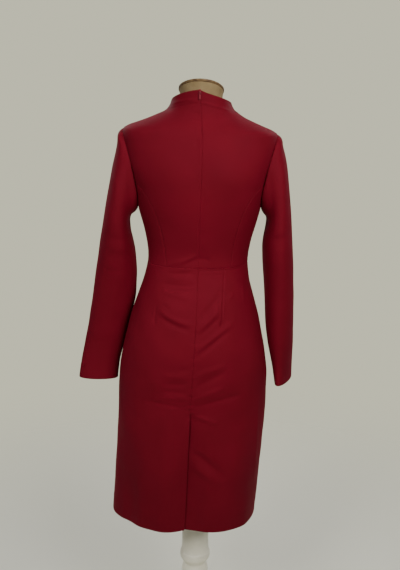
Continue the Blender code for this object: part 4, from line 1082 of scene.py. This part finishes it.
WHITE = (1.0, 1.0, 1.0)
LAMPS = table(
    "name place target width power colour spread_degrees",
    ("key_light", (0.9, -1.7, 2.05), (0.03, 0.0, 1.28), 0.9, 9.0, (1.0, 0.98, 0.95), 85.0),
    ("fill_light", (-1.0, -1.7, 2.2), (-0.06, -0.1, 0.93), 0.9, 1.9, WHITE, 38.0),
    ("top_light", (0.1, -0.2, 3.0), (0.0, 0.1, 1.0), 1.6, 9.0, WHITE, 180.0),
    ("front_light_left", (-1.5, 1.9, 2.2), (0.0, 0.0, 1.0), 1.2, 30.0, WHITE, 180.0),
    ("front_light_right", (1.5, 1.9, 2.2), (0.0, 0.0, 1.0), 1.2, 22.0, WHITE, 180.0),
)


def softbox(row):
    """A large soft lamp that faces a point."""
    data = bpy.data.lights.new(row.name, "AREA")
    data.shape = "RECTANGLE"
    data.size = data.size_y = row.width
    data.energy = row.power
    data.color = row.colour
    data.spread = math.radians(row.spread_degrees)
    lamp = bpy.data.objects.new(row.name, data)
    bpy.context.scene.collection.objects.link(lamp)
    lamp.location = row.place
    aim = Vector(row.target) - Vector(row.place)
    lamp.rotation_euler = aim.to_track_quat("-Z", "Y").to_euler()


FLOOR_RADIUS = 2.4
FLOOR_SIDES = 64
FLOOR_FADE = (0.22, 0.85)   # shares of that radius: whole before the first, gone after the second
BACKDROP = (0.720, 0.710, 0.530)
ROOM_LIGHT = (0.190, 0.194, 0.200)


def floor():
    """A plain pale floor that fades into the backdrop all round."""
    finish, shader = new_finish("floor_paper", (0.80, 0.79, 0.66), 0.9)
    mottle = texture(finish, "Noise", Scale=2.0, Detail=2.0)
    coloured_by(finish, shader, mottle, (0.2, (0.78, 0.77, 0.64)), (0.8, (0.82, 0.81, 0.68)))
    place = add_node(finish, "ShaderNodeTexCoord")
    away = add_node(finish, "ShaderNodeVectorMath", operation="LENGTH")
    link(finish, place.outputs["Object"], away.inputs[0])
    whole_to, gone_from = (share * FLOOR_RADIUS for share in FLOOR_FADE)
    limits = {"From Min": whole_to, "From Max": gone_from, "To Min": 1.0, "To Max": 0.0}
    fade = add_node(finish, "ShaderNodeMapRange", interpolation_type="SMOOTHSTEP", **limits)
    link(finish, away.outputs["Value"], fade.inputs["Value"])
    link(finish, fade.outputs["Result"], shader.inputs["Alpha"])
    angles = np.arange(FLOOR_SIDES) * 2 * math.pi / FLOOR_SIDES
    points = [(FLOOR_RADIUS * math.cos(a), FLOOR_RADIUS * math.sin(a), 0.0) for a in angles]
    mesh = bpy.data.meshes.new("floor")
    mesh.from_pydata(points, [], [list(range(FLOOR_SIDES))])
    mesh.materials.append(finish)
    disc = bpy.data.objects.new("floor", mesh)
    bpy.context.scene.collection.objects.link(disc)


def studio():
    """The floor, an even pale backdrop all round, and soft light."""
    floor()
    world = bpy.data.worlds.new("studio")
    bpy.context.scene.world = world
    world.use_nodes = True
    tree = world.node_tree
    light = tree.nodes["Background"]
    light.inputs["Color"].default_value = (*ROOM_LIGHT, 1.0)
    backdrop = tree.nodes.new("ShaderNodeBackground")
    backdrop.inputs["Color"].default_value = (*BACKDROP, 1.0)
    path = tree.nodes.new("ShaderNodeLightPath")
    either = tree.nodes.new("ShaderNodeMixShader")
    tree.links.new(path.outputs["Is Camera Ray"], either.inputs["Fac"])
    tree.links.new(light.outputs["Background"], either.inputs[1])
    tree.links.new(backdrop.outputs["Background"], either.inputs[2])
    tree.links.new(either.outputs["Shader"], tree.nodes["World Output"].inputs["Surface"])
    for row in LAMPS:
        softbox(row)


# ------------------------ everything
def main():
    crepe, tape, enamel = crepe_finish(), tape_finish(), enamel_finish()
    paint = paint_finish()
    form_tree = form_torso(linen_finish())
    surfaces = {cut.node: cloth_piece(cut, crepe, form_tree) for cut in CUTS}
    zip_coil(surfaces, tape)
    for node, finish in (("zip_tape_left", tape), ("zip_tape_right", tape),
                         ("zip_slider", enamel), ("zip_pull_tab", enamel)):
        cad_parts[node].material_slots[0].material = finish
    form_neck_cap(cap_finish())
    for node in ("stand_post", "stand_base"):
        turned_piece(node, paint)
    camera()
    studio()


main()
